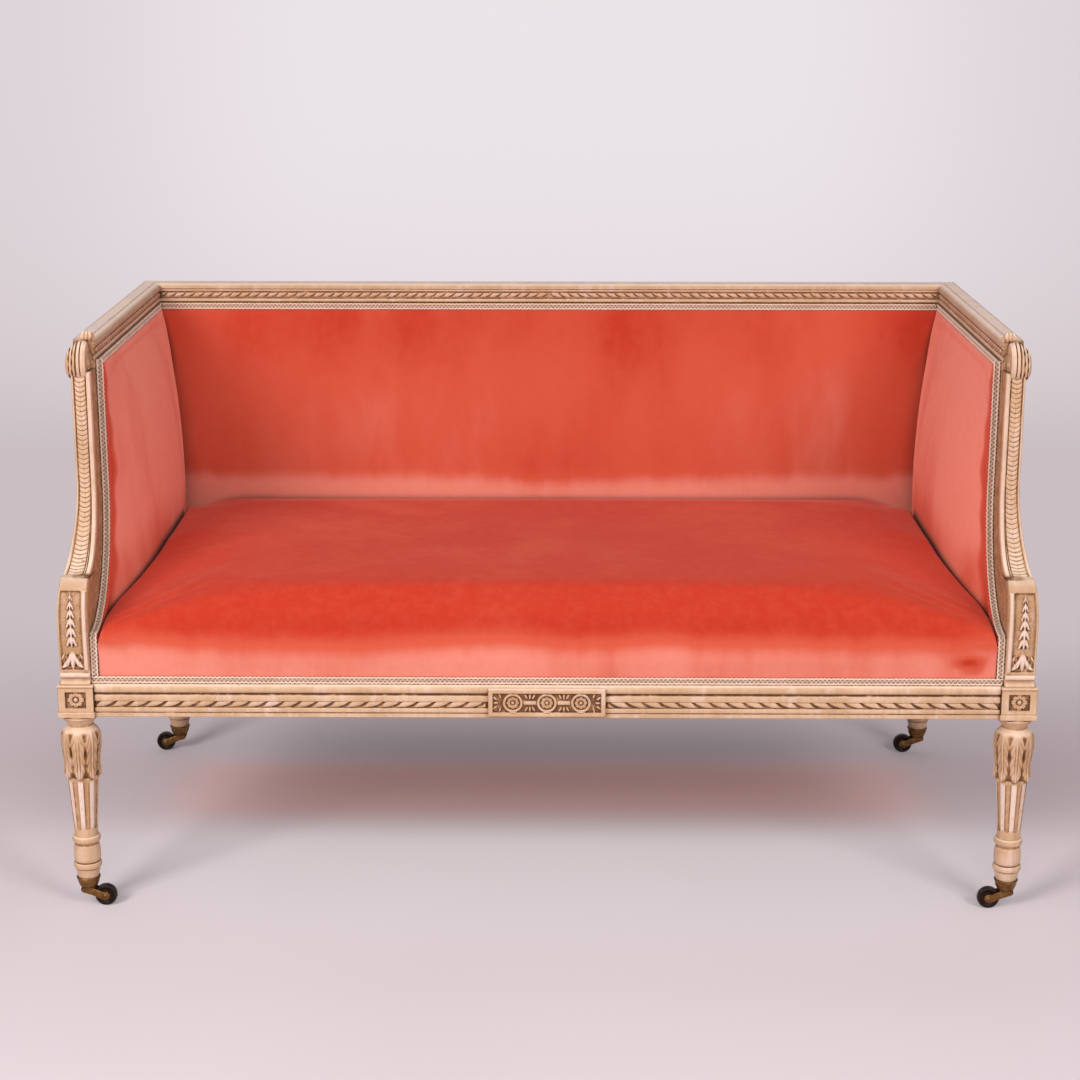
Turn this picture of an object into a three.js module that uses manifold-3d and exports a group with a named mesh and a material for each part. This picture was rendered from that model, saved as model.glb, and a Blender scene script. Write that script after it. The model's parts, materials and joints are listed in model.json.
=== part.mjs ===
// A painted box settee in the Louis XVI manner: turned front legs on castors, console arm
// supports, scrolled arms, a level top rail on three sides and tight velvet upholstery.
// Sizes are in millimetres. +Z is up and the seat faces -Y. The origin is on the floor,
// under the middle of the width and of the depth.

import * as THREE from 'three';
import { mergeVertices } from 'three/addons/utils/BufferGeometryUtils.js';
import Module from 'manifold-3d';

const wasm = await Module();
wasm.setup();

// Driving dimensions of the whole settee
const overallDepth = 698.4;
const topHeight = 796;
const armFrameWidth = 1315;
const frontLegInset = 6.5;
const rearLegInset = 32.5;
const railUnderside = 288;
const seatRailHeight = 47;
const fitGap = 0.3;
const overrun = 5;

// Leg dies, the square blocks that the seat rails are tenoned into
const frontDieWidth = 51;
const frontDieDepth = 50;
const rearDieWidth = 58;
const rearDieDepth = 55;
const rearDieSetback = 3;
const dieMouldingHeight = 8;
const dieNeckInset = 1.4;

// Rosette sunk in the die
const rosetteWidth = 29;
const rosetteHeight = 23;
const rosetteDepth = 3.2;
const rosetteRadius = 10;
const rosetteRise = 2.8;
const rosetteSides = 12;
const domeShoulderShare = 0.7;

// Turned leg
const bulbRadius = 27.4;
const fluteCount = 8;
const fluteDepth = 2.2;
const leafDepth = 1.6;

// Castor
const wheelRadius = 15.5;
const wheelHalfWidth = 5.2;
const wheelWebHalfWidth = 3.2;
const wheelRimWidth = 3.6;
const wheelRimRounding = 1.4;
const hubRadius = 5;
const hubHalfWidth = 5.6;
const castorTrail = 24;
const axleRadius = 2;
const axleHeadRadius = 3.6;
const axleHeadHeight = 1;
const axleClearance = 0.25;
const forkCheekThickness = 2.6;
const forkCheekGap = 0.5;
const forkHubRadius = 6.2;
const forkCrownThickness = 2.3;
const forkCrownReach = 9;
const swivelPlateRadius = 11.2;
const swivelPlateThickness = 1.8;
const swivelGap = 0.3;
const swivelPinRadius = 3;
const swivelPinClearance = 0.25;
const swivelPinHeadRadius = 4.8;
const swivelPinHeadHeight = 1.5;
const cupTop = 44.5;
const cupBottom = 29.3;
const cupFloor = 2.4;
const cupTopRadius = 16;
const cupBottomRadius = 12.8;
const cupWall = 1.2;
const cupBeadRadius = 16.8;
const cupBeadHeight = 2.4;
const castorSides = 14;
const pinSides = 8;

// Seat rails
const seatRailThickness = 30;
const railSetback = 5;
const lowerBandHeight = 14;
const carvedBandHeight = 10;
const carvedBandDepth = 2.6;
const filletHeight = 6;
const grooveHeight = 5;
const bandInset = 2;
const beadSteps = 5;
const tenonLength = 15;
const tenonThickness = 10;
const tenonShoulder = 8;

// Centre tablet of the front rail
const tabletWidth = 162;
const tabletHeight = 40;
const tabletProjection = 4;
const tabletBorder = 6;
const tabletRecess = 2;
const tabletRosettePitch = 47;
const tabletRingRadius = 14;
const tabletRingWidth = 4;
const tabletRingRise = 2.6;
const tabletBossRadius = 7;
const tabletRingSides = 16;

// Top rail and arm rails
const topRailHeight = 42;
const topRailThickness = 30.5;
const rabbetDepth = 3;
const rabbetHeight = 11;
const topRoundingRadius = 2.5;
const innerBeadHeight = 5.5;
const innerStepHeight = 3;
const dashBandHeight = 7;
const innerGrooveHeight = 3.5;
const innerFilletHeight = 5.5;
const innerFilletInset = 1.2;
const innerGrooveDepth = 3;
const dashBandInset = 2;

// Arm scroll
const scrollRadius = 24;
const scrollWidth = 33;
const scrollOverhang = 9.5;
const scrollEyeRadius = 7;
const scrollEyeRise = 1.6;
const scrollSides = 24;
const scrollGrooveDepth = 1.8;
const scrollGrooveWidth = 3;
const scrollForward = 8;
const scrollGrooveSteps = 14;
const scrollGrooveTurns = 1.2;
const leafCurlRise = 13.5;
const leafCurlWidth = 17;
const leafCurlLength = 20;

// Arm support: stile above, console below
const stileDepth = 45;
const stileSetback = 108;
const stileWidth = 27.5;
const consoleWidth = 41.5;
const consoleDepth = 46;
const consoleSetback = 3;
const consoleTop = 484;
const sweepTop = 600;
const sweepReach = 76;
const sweepBack = 585;
const supportBaseHeight = 17;
const cavettoDepth = 4;
const supportTorusHeight = 7;
const panelBorder = 4.5;
const panelDepth = 2.4;
const capHeight = 62;
const capDepth = 27;
const capSteps = 3;
const panelBelly = 4;
const panelHeadSetback = 16;
const panelRowShares = [0.2, 0.4, 0.55, 0.68, 0.8, 0.9];
const tackMargin = 5;
const sweepSteps = 6;
const stileBandDepth = 1.8;
const supportTenonWidth = 12;
const supportTenonDepth = 14;
const supportTenonLength = 20;
const stileTenonWidth = 12;

// Upholstery
const hessianThickness = 1.4;
const gimpWidth = 10;
const gimpThickness = 2.6;
const gimpSweepFoot = 404;
const armPadCrown = 50;
const armPadEdge = 3;
const armPadEndCrown = 38;
const armPadEndReach = 90;
const armPadRimReach = 45;
const backPadCrown = 46;
const backPadEdge = 4;
const seatCrown = 110;
const seatEdgeHeight = 10;
const seatRollDepth = 92;
const seatFrontSetback = 12;
const seatRollOverhang = 4.5;
const outsidePanelThickness = 5;
const outsidePanelInset = 6;
const armPanelStandoff = 21;
const panelSeam = 0.3;
const padGap = 0.4;
const armPadReach = 300;
const armPadColumns = 12;
const armPadRows = 12;
const backPadColumns = 22;
const backPadRows = 10;
const seatColumns = 24;
const seatRows = 16;
const padSidePower = 10;
const lineSteps = 7;
const mitreLimitShare = 0.5;

// Seat platform
const webWidth = 50;
const webThickness = 1.6;
const dustCoverThickness = 1;
const coverMargin = 6;
const springRows = 3;
const springColumns = 4;
const springRadius = 38;
const springWaist = 24;
const springWire = 2.2;
const springHeight = 100;
const springTurns = 2.5;
const springSteps = 6;
const springEndMargin = 110;
const springSideMargin = 26;
const springBackMargin = 40;
const springWireSides = 3;
const tieThickness = 2.4;
const cavityClearance = 6;
const braceLeg = 88;
const braceHeight = 26;
const braceRise = 10;

// Lines that several pieces share
const frontY = -overallDepth / 2;
const backY = overallDepth / 2;
const railTop = railUnderside + seatRailHeight;
const armOuter = armFrameWidth / 2;
const frontAxisX = armOuter - frontLegInset;
const frontAxisY = frontY + bulbRadius;
const dieFrontY = frontAxisY - frontDieDepth / 2;
const rearAxisX = armOuter - rearLegInset;
const rearDieBack = backY - rearDieSetback;
const rearAxisY = rearDieBack - rearDieDepth / 2;
const armPlane = armOuter - topRailThickness + rabbetDepth;
const backPlane = backY - topRailThickness + rabbetDepth;
const topRailUnderside = topHeight - topRailHeight;
const rearDieOuter = rearAxisX + rearDieWidth / 2;
const frontDieInner = frontAxisX - frontDieWidth / 2;
const rearDieInner = rearAxisX - rearDieWidth / 2;
const padBaseX = armPlane - hessianThickness - 2 * fitGap;
const padBaseY = backPlane - hessianThickness - 2 * fitGap;
const stileFront = dieFrontY + stileSetback;
const stileBack = stileFront + stileDepth;

// Materials
function finish(color, roughness, metalness) {
  return new THREE.MeshStandardMaterial({ color, roughness, metalness });
}
const paint = finish(0xd9c39c, 0.6, 0);
const bareWood = finish(0xb08a5c, 0.75, 0);
const velvet = finish(0xd2543c, 0.85, 0);
const braid = finish(0xe3cfb0, 0.9, 0);
const brass = finish(0x82592f, 0.45, 0.9);
const darkWheel = finish(0x2a1a14, 0.5, 0);
const jute = finish(0xa88a5e, 0.95, 0);
const cambric = finish(0x2b2724, 0.95, 0);
const steel = finish(0x8c8a86, 0.4, 0.9);

// Mesh and solid helpers
function signedVolume(points, triangles) {
  let volume = 0;
  for (const [a, b, c] of triangles) {
    volume += points[a].dot(new THREE.Vector3().crossVectors(points[b], points[c]));
  }
  return volume;
}

function closedMesh(points, triangles) {
  const outward = signedVolume(points, triangles) >= 0;
  const index = triangles.flatMap(([a, b, c]) => (outward ? [a, b, c] : [a, c, b]));
  const geometry = new THREE.BufferGeometry();
  const places = points.flatMap((point) => point.toArray());
  geometry.setAttribute('position', new THREE.Float32BufferAttribute(places, 3));
  geometry.setIndex(index);
  return geometry;
}

function merged(geometry) {
  const bare = geometry.clone();
  bare.deleteAttribute('normal');
  bare.deleteAttribute('uv');
  const mesh = mergeVertices(bare);
  const place = mesh.attributes.position;
  const pointAt = (_, i) => new THREE.Vector3().fromBufferAttribute(place, i);
  const points = Array.from({ length: place.count }, pointAt);
  const order = Array.from(mesh.index.array);
  const triangles = [];
  for (let corner = 0; corner < order.length; corner += 3) {
    const [a, b, c] = order.slice(corner, corner + 3);
    if (a !== b && b !== c && c !== a) triangles.push([a, b, c]);
  }
  return closedMesh(points, triangles);
}

function solid(geometry) {
  const mesh = merged(geometry);
  return new wasm.Manifold(new wasm.Mesh({
    numProp: 3,
    vertProperties: new Float32Array(mesh.attributes.position.array),
    triVerts: new Uint32Array(mesh.index.array),
  }));
}

function geometryOf(manifold) {
  const mesh = manifold.getMesh();
  const geometry = new THREE.BufferGeometry();
  geometry.setAttribute('position', new THREE.BufferAttribute(new Float32Array(mesh.vertProperties), 3));
  geometry.setIndex(new THREE.BufferAttribute(new Uint32Array(mesh.triVerts), 1));
  return geometry;
}

function fuse(...geometries) {
  return geometryOf(geometries.map(solid).reduce((whole, piece) => whole.add(piece)));
}

function cut(geometry, ...tools) {
  return geometryOf(tools.map(solid).reduce((whole, tool) => whole.subtract(tool), solid(geometry)));
}

function keepInside(geometry, space) {
  return geometryOf(solid(geometry).intersect(solid(space)));
}

function block(low, high) {
  const size = high.map((value, axis) => value - low[axis]);
  const middle = high.map((value, axis) => (value + low[axis]) / 2);
  return new THREE.BoxGeometry(...size).translate(...middle);
}

function mirrored(geometry) {
  return merged(merged(geometry).scale(-1, 1, 1));
}

function middleOf(points) {
  return points.reduce((sum, p) => sum.add(p), new THREE.Vector3()).divideScalar(points.length);
}

// A solid skinned over rings that have as many points each, with a fan closing both ends
function loft(rings) {
  const count = rings[0].length;
  const last = (rings.length - 1) * count;
  const points = [...rings.flat(), middleOf(rings[0]), middleOf(rings[rings.length - 1])];
  const lowMiddle = points.length - 2;
  const highMiddle = points.length - 1;
  const triangles = [];
  for (let i = 0; i < count; i += 1) {
    const next = (i + 1) % count;
    triangles.push([lowMiddle, next, i], [highMiddle, last + i, last + next]);
    for (let level = 0; level + 1 < rings.length; level += 1) {
      const a = level * count + i;
      const b = level * count + next;
      triangles.push([a, b, b + count], [a, b + count, a + count]);
    }
  }
  return closedMesh(points, triangles);
}

// A turned piece: [height, radius] pairs revolved about +Z
function turned(profile, sides) {
  const points = profile.map(([height, radius]) => new THREE.Vector2(radius, height));
  return new THREE.LatheGeometry(points, sides).rotateX(Math.PI / 2);
}

// A moulding: an outline in (outward, height) run along a straight line
function moulding(outline, length, outward) {
  const shape = new THREE.Shape(outline.map(([x, y]) => new THREE.Vector2(x, y)));
  const geometry = new THREE.ExtrudeGeometry(shape, { depth: length, bevelEnabled: false });
  const up = new THREE.Vector3(0, 0, 1);
  const along = new THREE.Vector3().crossVectors(outward, up);
  geometry.translate(0, 0, -length / 2);
  return geometry.applyMatrix4(new THREE.Matrix4().makeBasis(outward, up, along));
}

// A plate: an outline in (y, z), given its thickness between two x
function plateAcross(outline, nearX, farX) {
  const shape = new THREE.Shape(outline.map(([y, z]) => new THREE.Vector2(y, z)));
  const geometry = new THREE.ExtrudeGeometry(shape, { depth: farX - nearX, bevelEnabled: false });
  const basis = new THREE.Matrix4().makeBasis(
    new THREE.Vector3(0, 1, 0), new THREE.Vector3(0, 0, 1), new THREE.Vector3(1, 0, 0));
  return geometry.applyMatrix4(basis).translate(nearX, 0, 0);
}

// A crowned pad on a flat base, over a grid that runs closer together at its edges
function pad(columns, rows, surfacePoint, basePoint) {
  const spread = (i, count) => (1 - Math.cos(Math.PI * i / count)) / 2;
  const points = [];
  const triangles = [];
  for (let j = 0; j <= rows; j += 1) {
    for (let i = 0; i <= columns; i += 1) {
      points.push(surfacePoint(spread(i, columns), spread(j, rows)));
    }
  }
  const at = (i, j) => j * (columns + 1) + i;
  for (let j = 0; j < rows; j += 1) {
    for (let i = 0; i < columns; i += 1) {
      triangles.push([at(i, j), at(i + 1, j), at(i + 1, j + 1)], [at(i, j), at(i + 1, j + 1), at(i, j + 1)]);
    }
  }
  const border = [];
  for (let i = 0; i < columns; i += 1) border.push([i, 0]);
  for (let j = 0; j < rows; j += 1) border.push([columns, j]);
  for (let i = columns; i > 0; i -= 1) border.push([i, rows]);
  for (let j = rows; j > 0; j -= 1) border.push([0, j]);
  const first = points.length;
  points.push(...border.map(([i, j]) => basePoint(spread(i, columns), spread(j, rows))));
  const middle = points.length;
  points.push(middleOf(points.slice(first)));
  border.forEach(([i, j], k) => {
    const next = (k + 1) % border.length;
    const [ni, nj] = border[next];
    triangles.push([at(i, j), first + k, first + next], [at(i, j), first + next, at(ni, nj)]);
    triangles.push([middle, first + next, first + k]);
  });
  return closedMesh(points, triangles);
}

const settee = new THREE.Group();
settee.name = 'settee';

// Each mesh is placed at its own origin, and its geometry is kept relative to that
function add(name, geometry, material, origin = [0, 0, 0]) {
  const mesh = new THREE.Mesh(geometry.translate(...origin.map((value) => -value)), material);
  mesh.name = name;
  mesh.position.set(...origin);
  settee.add(mesh);
}

const sides = [['right', 1], ['left', -1]];
const handed = (geometry, sign) => (sign > 0 ? geometry.clone() : mirrored(geometry));

// Seat rails

// Half of a round bead as [outward, height] points, from its foot to its top
function beadPoints(root, foot, height) {
  const radius = height / 2;
  const points = [];
  for (let i = 0; i <= beadSteps; i += 1) {
    const angle = -Math.PI / 2 + Math.PI * i / beadSteps;
    points.push([root + radius * Math.cos(angle), foot + radius + radius * Math.sin(angle)]);
  }
  return points;
}

const carvedBandFoot = lowerBandHeight;
const filletFoot = carvedBandFoot + carvedBandHeight;
const grooveFoot = filletFoot + filletHeight;
const topBeadFoot = grooveFoot + grooveHeight;
const topBeadHeight = seatRailHeight - topBeadFoot;
const bandFace = seatRailThickness - bandInset;
const mouldedRail = [
  [0, 0], [bandFace, 0], [bandFace, lowerBandHeight],
  [bandFace - carvedBandDepth, carvedBandFoot], [bandFace - carvedBandDepth, filletFoot],
  [bandFace, filletFoot], [bandFace, grooveFoot],
  [bandFace - carvedBandDepth, grooveFoot], [bandFace - carvedBandDepth, topBeadFoot],
  ...beadPoints(seatRailThickness - topBeadHeight / 2, topBeadFoot, topBeadHeight),
  [0, seatRailHeight],
];
const plainRail = [
  [0, 0], [seatRailThickness, 0], [seatRailThickness, topBeadFoot],
  [bandFace, topBeadFoot], [bandFace, seatRailHeight], [0, seatRailHeight],
];

const outwardFront = new THREE.Vector3(0, -1, 0);
const outwardBack = new THREE.Vector3(0, 1, 0);
const outwardRight = new THREE.Vector3(1, 0, 0);

// A tenon, or with play the mortise for it, across a rail of this length that runs along x
function tenonAlongX(length, play) {
  const half = length / 2 + tenonLength + play;
  return block(
    [-half, seatRailThickness / 2 - tenonThickness / 2 - play, tenonShoulder - play],
    [half, seatRailThickness / 2 + tenonThickness / 2 + play, seatRailHeight - tenonShoulder + play]);
}

const frontRailLength = 2 * (frontDieInner - fitGap);
const frontRailFace = dieFrontY + railSetback;
const frontRailPlace = (geometry) => geometry.translate(0, frontRailFace, railUnderside);
const backRailLength = 2 * (rearDieInner - fitGap);
const backRailInner = rearDieBack - seatRailThickness;
const backRailPlace = (geometry) => geometry.translate(0, backRailInner, railUnderside);

// The side rails run from the wider front to the narrower back
const sideRailFrontX = frontAxisX + frontDieWidth / 2 - railSetback - seatRailThickness / 2;
const sideRailBackX = rearDieOuter - rearDieSetback - seatRailThickness / 2;
const sideRailFrontY = dieFrontY + frontDieDepth;
const sideRailBackY = rearDieBack - rearDieDepth;
const sideRailRun = sideRailBackY - sideRailFrontY;
const sideRailAngle = Math.atan2(sideRailFrontX - sideRailBackX, sideRailRun);
const sideRailSkew = seatRailThickness * Math.tan(sideRailAngle);
const sideRailLength = sideRailRun / Math.cos(sideRailAngle) - sideRailSkew - 2 * fitGap;
const sideRailPlace = (geometry) => geometry
  .translate(-seatRailThickness / 2, 0, 0)
  .rotateZ(sideRailAngle)
  .translate((sideRailFrontX + sideRailBackX) / 2, (sideRailFrontY + sideRailBackY) / 2, railUnderside);
const sideTenon = (play) => sideRailPlace(
  tenonAlongX(sideRailLength, play).translate(0, -seatRailThickness / 2, 0).rotateZ(Math.PI / 2)
    .translate(seatRailThickness / 2, 0, 0));

function rosetteRing(radius, width, rise, count) {
  return turned([
    [-overrun, 0], [-overrun, radius], [0, radius], [rise, radius - width / 2],
    [0, radius - width], [-overrun + rise, radius - width], [-overrun + rise, 0],
  ], count);
}

function dome(radius, rise, count) {
  const shoulder = [rise * domeShoulderShare, radius * domeShoulderShare];
  return turned([[-overrun, 0], [-overrun, radius], [0, radius], shoulder, [rise, 0]], count);
}

const faceFront = (geometry) => geometry.rotateX(Math.PI / 2);

function frontSeatRail() {
  const rail = moulding(mouldedRail, frontRailLength, outwardFront).translate(0, seatRailThickness, 0);
  const tabletFace = -tabletProjection;
  const foot = (seatRailHeight - tabletHeight) / 2;
  const tablet = block(
    [-tabletWidth / 2, tabletFace, foot], [tabletWidth / 2, seatRailThickness / 2, foot + tabletHeight]);
  const inner = block(
    [-tabletWidth / 2 + tabletBorder, tabletFace - overrun, foot + tabletBorder],
    [tabletWidth / 2 - tabletBorder, tabletFace + tabletRecess, foot + tabletHeight - tabletBorder]);
  const pieces = [];
  for (const place of [-1, 0, 1]) {
    const centre = [place * tabletRosettePitch, tabletFace + tabletRecess, seatRailHeight / 2];
    const ring = faceFront(rosetteRing(tabletRingRadius, tabletRingWidth, tabletRingRise, tabletRingSides));
    pieces.push(ring.translate(...centre));
    pieces.push(faceFront(dome(tabletBossRadius, tabletRingRise, tabletRingSides)).translate(...centre));
  }
  return frontRailPlace(fuse(rail, tenonAlongX(frontRailLength, 0), cut(tablet, inner), ...pieces));
}

add('front_seat_rail', frontSeatRail(), paint, [0, frontRailFace, railUnderside]);
const backRail = fuse(moulding(plainRail, backRailLength, outwardBack), tenonAlongX(backRailLength, 0));
add('back_seat_rail', backRailPlace(backRail), paint, [0, backRailInner, railUnderside]);
const sideRail = fuse(sideRailPlace(moulding(mouldedRail, sideRailLength, outwardRight)), sideTenon(0));

// Legs

// Turned leg between the castor cup and the die: shares of that height and of the bulb's radius
const turningShares = [
  [0.03, 0.62], [0.036, 0.70], [0.062, 0.725], [0.088, 0.70], [0.096, 0.59], [0.134, 0.69],
  [0.172, 0.57], [0.196, 0.60], [0.204, 0.70], [0.23, 0.73], [0.258, 0.70], [0.268, 0.585], [0.3, 0.595],
];
const shaftShares = [[0.325, 0.615], [0.575, 0.775]];
const bulbShares = [
  [0.605, 0.80], [0.648, 0.915], [0.668, 0.82], [0.715, 0.87], [0.765, 0.965], [0.81, 1.0], [0.842, 0.93],
  [0.855, 0.72], [0.895, 0.63], [0.918, 0.68], [0.932, 0.705], [0.948, 0.68], [0.955, 0.63], [1.0, 0.80],
];
const leafShares = [0.64, 0.85];
const legSides = 2 * fluteCount;
const spigotFoot = cupBottom + cupFloor + fitGap + swivelPinHeadHeight + fitGap;
const cupInnerRadius = (height) => {
  const share = (height - cupBottom) / (cupTop - cupBottom);
  return cupBottomRadius + (cupTopRadius - cupBottomRadius) * share - cupWall;
};

function turnedLeg(carved) {
  const height = railUnderside - cupTop;
  const rows = [
    [spigotFoot, cupInnerRadius(spigotFoot) - fitGap, 0],
    [cupTop, cupInnerRadius(cupTop) - fitGap, 0],
  ];
  const row = (share, radiusShare, carving) => rows.push([
    cupTop + share * height, radiusShare * bulbRadius, carving]);
  turningShares.forEach(([share, radiusShare]) => row(share, radiusShare, 0));
  const [low, high] = shaftShares;
  row(low[0], low[1], 0);
  row(low[0], low[1], fluteDepth);
  row(high[0], high[1], fluteDepth);
  row(high[0], high[1], 0);
  for (const [share, radiusShare] of bulbShares) {
    const inLeaves = carved && share > leafShares[0] && share < leafShares[1];
    row(share, radiusShare, inLeaves ? leafDepth : 0);
  }
  const rings = rows.map(([z, radius, carving], level) => {
    const lift = level > 0 && rows[level - 1][0] === z ? fitGap : 0;
    return Array.from({ length: legSides }, (_, i) => {
      const angle = 2 * Math.PI * (i + 1) / legSides;
      const reach = radius - (i % 2 === 0 ? carving : 0);
      return new THREE.Vector3(reach * Math.cos(angle), reach * Math.sin(angle), z + lift);
    });
  });
  return loft(rings);
}

function die(width, depth) {
  const foot = railUnderside - fitGap;
  const mouldTop = railUnderside + dieMouldingHeight;
  const neckLow = railTop - dieMouldingHeight / 2;
  const grown = (inset) => [width / 2 - inset, depth / 2 - inset];
  const level = (z, inset) => {
    const [x, y] = grown(inset);
    return [[-x, -y], [x, -y], [x, y], [-x, y]].map(([px, py]) => new THREE.Vector3(px, py, z));
  };
  return loft([
    level(foot, 0), level(mouldTop, 0), level(mouldTop + fitGap, dieNeckInset),
    level(neckLow, dieNeckInset), level(neckLow + fitGap, 0), level(railTop, 0),
  ]);
}

// The rosette faces -Y here, on a face at y = 0
function rosetteCutter() {
  return block(
    [-rosetteWidth / 2, -overrun, -rosetteHeight / 2], [rosetteWidth / 2, rosetteDepth, rosetteHeight / 2]);
}

function rosetteBoss() {
  return faceFront(dome(rosetteRadius, rosetteRise, rosetteSides)).translate(0, rosetteDepth, 0);
}

const dieMiddle = (railUnderside + railTop) / 2;
const toFront = (geometry) => geometry.translate(0, -frontDieDepth / 2 + dieNeckInset, dieMiddle);
const toOuter = (geometry) => geometry.rotateZ(Math.PI / 2)
  .translate(frontDieWidth / 2 - dieNeckInset, 0, dieMiddle);
const moveTo = (geometry, x, y) => geometry.translate(x, y, 0);

const supportTenonBox = (play) => {
  const halfX = supportTenonWidth / 2 + play;
  const halfY = supportTenonDepth / 2 + play;
  return block(
    [-halfX, -halfY, railTop - supportTenonLength - play], [halfX, halfY, railTop + supportTenonLength]);
};

function frontLeg() {
  const body = fuse(turnedLeg(true), die(frontDieWidth, frontDieDepth));
  const carved = cut(body, toFront(rosetteCutter()), toOuter(rosetteCutter()));
  const whole = moveTo(fuse(carved, toFront(rosetteBoss()), toOuter(rosetteBoss())), frontAxisX, frontAxisY);
  return cut(whole, frontRailPlace(tenonAlongX(frontRailLength, fitGap)), sideTenon(fitGap),
    moveTo(supportTenonBox(fitGap), frontAxisX, frontAxisY));
}

// The rear leg runs on above its die as the post of the back
function rearLeg() {
  const post = block(
    [armPlane, backPlane, dieMiddle], [rearDieOuter, rearDieBack, topRailUnderside - fitGap]);
  const leg = moveTo(fuse(turnedLeg(false), die(rearDieWidth, rearDieDepth)), rearAxisX, rearAxisY);
  return cut(fuse(leg, post), backRailPlace(tenonAlongX(backRailLength, fitGap)), sideTenon(fitGap));
}

const frontLegSolid = frontLeg();
const rearLegSolid = rearLeg();
for (const [side, sign] of sides) {
  add(`side_seat_rail_${side}`, handed(sideRail, sign), paint,
    [sign * sideRailFrontX, sideRailFrontY, railUnderside]);
  add(`leg_front_${side}`, handed(frontLegSolid, sign), paint, [sign * frontAxisX, frontAxisY, 0]);
  add(`leg_post_rear_${side}`, handed(rearLegSolid, sign), paint, [sign * rearAxisX, rearAxisY, 0]);
}

// Arm supports

const consoleFront = dieFrontY + consoleSetback;
const consoleBack = consoleFront + consoleDepth;
const seatFrontFoot = frontRailFace + seatFrontSetback - gimpThickness;
const gimpFootY = seatFrontFoot - fitGap - gimpThickness / 2;
const gimpStileY = stileBack - tackMargin;

// The line of the braid on the inner side of the support: down the stile, then swept forward
function armLineY(z, margin) {
  const drop = Math.min(Math.max((sweepBack - z) / (sweepBack - gimpSweepFoot + margin), 0), 1);
  return gimpFootY + (gimpStileY - gimpFootY + margin) * Math.sqrt(1 - drop * drop);
}

const supportBack = (z) => Math.max(consoleBack, armLineY(z, 0) + tackMargin);

function smooth(value, low, high) {
  const share = Math.min(Math.max((value - low) / (high - low), 0), 1);
  return share * share * (3 - 2 * share);
}

const supportFoot = railTop + fitGap;
const torusFoot = railTop + supportBaseHeight - supportTorusHeight;
const torusTop = railTop + supportBaseHeight;
const capFoot = consoleTop - capHeight;
const panelFoot = torusTop + panelBorder;
const panelHead = consoleTop - panelHeadSetback;
const panelFace = consoleFront + cavettoDepth;
const supportOuter = (z) => armPlane + consoleWidth
  + (stileWidth - consoleWidth) * smooth(z, capFoot, sweepTop);

// The console's face in side view: a slight belly that rounds back over the cap
function consoleFace(z) {
  const rise = Math.min((z - torusTop) / (capFoot - torusTop), 1);
  const over = Math.min(Math.max((z - capFoot) / capHeight, 0), 1);
  return panelFace - panelBelly * Math.sin(Math.PI / 2 * rise) + capDepth * (1 - Math.sqrt(1 - over * over));
}

// The sunk panel between its borders
function panelRows() {
  return panelRowShares.map((share) => {
    const z = panelFoot + share * (panelHead - panelFoot);
    return [z, consoleFace(z), panelDepth];
  });
}

// Rows of the support from its foot up: [height, front, depth of the sunk band in its face]
function supportRows() {
  const rows = [
    [supportFoot, consoleFront, 0],
    [(supportFoot + torusFoot) / 2, panelFace, 0],
    [torusFoot, panelFace, 0],
    [torusFoot + supportTorusHeight / 4, consoleFront, 0],
    [torusTop - supportTorusHeight / 4, consoleFront, 0],
    [torusTop, panelFace, 0],
    [panelFoot, consoleFace(panelFoot), 0],
    [panelFoot + fitGap, consoleFace(panelFoot), panelDepth],
    ...panelRows(),
    [panelHead, consoleFace(panelHead), panelDepth],
    [panelHead + fitGap, consoleFace(panelHead + fitGap), 0],
  ];
  const shoulder = Math.asin((panelHead - capFoot) / capHeight);
  for (let i = 1; i <= capSteps; i += 1) {
    const z = capFoot + capHeight * Math.sin(shoulder + (Math.PI / 2 - shoulder) * i / capSteps);
    rows.push([z, consoleFace(z), 0]);
  }
  const sweepFoot = stileFront - sweepReach;
  for (let i = sweepSteps; i >= 0; i -= 1) {
    const angle = Math.PI / 2 * i / sweepSteps;
    const z = sweepTop - (sweepTop - consoleTop - fitGap) * Math.sin(angle);
    rows.push([z, sweepFoot + sweepReach * Math.cos(angle), stileBandDepth]);
  }
  rows.push([topRailUnderside - fitGap, stileFront, stileBandDepth]);
  return rows;
}

function armSupport() {
  const rings = supportRows().map(([z, front, sunk]) => {
    const outer = supportOuter(z);
    const back = supportBack(z);
    return [
      [armPlane, front], [armPlane + panelBorder, front], [armPlane + panelBorder + fitGap, front + sunk],
      [outer - panelBorder - fitGap, front + sunk], [outer - panelBorder, front], [outer, front],
      [outer, back], [armPlane, back],
    ].map(([x, y]) => new THREE.Vector3(x, y, z));
  });
  const stileTenon = stileTenonBox(0);
  return fuse(loft(rings), moveTo(supportTenonBox(0), frontAxisX, frontAxisY), stileTenon);
}

function stileTenonBox(play) {
  const middle = armPlane + stileWidth / 2;
  const half = stileTenonWidth / 2 + play;
  return block(
    [middle - half, stileFront + tenonShoulder - play, topRailUnderside - supportTenonLength],
    [middle + half, stileBack - tenonShoulder + play, topRailUnderside + supportTenonLength + play]);
}

// Top rail and arm rails

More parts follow.
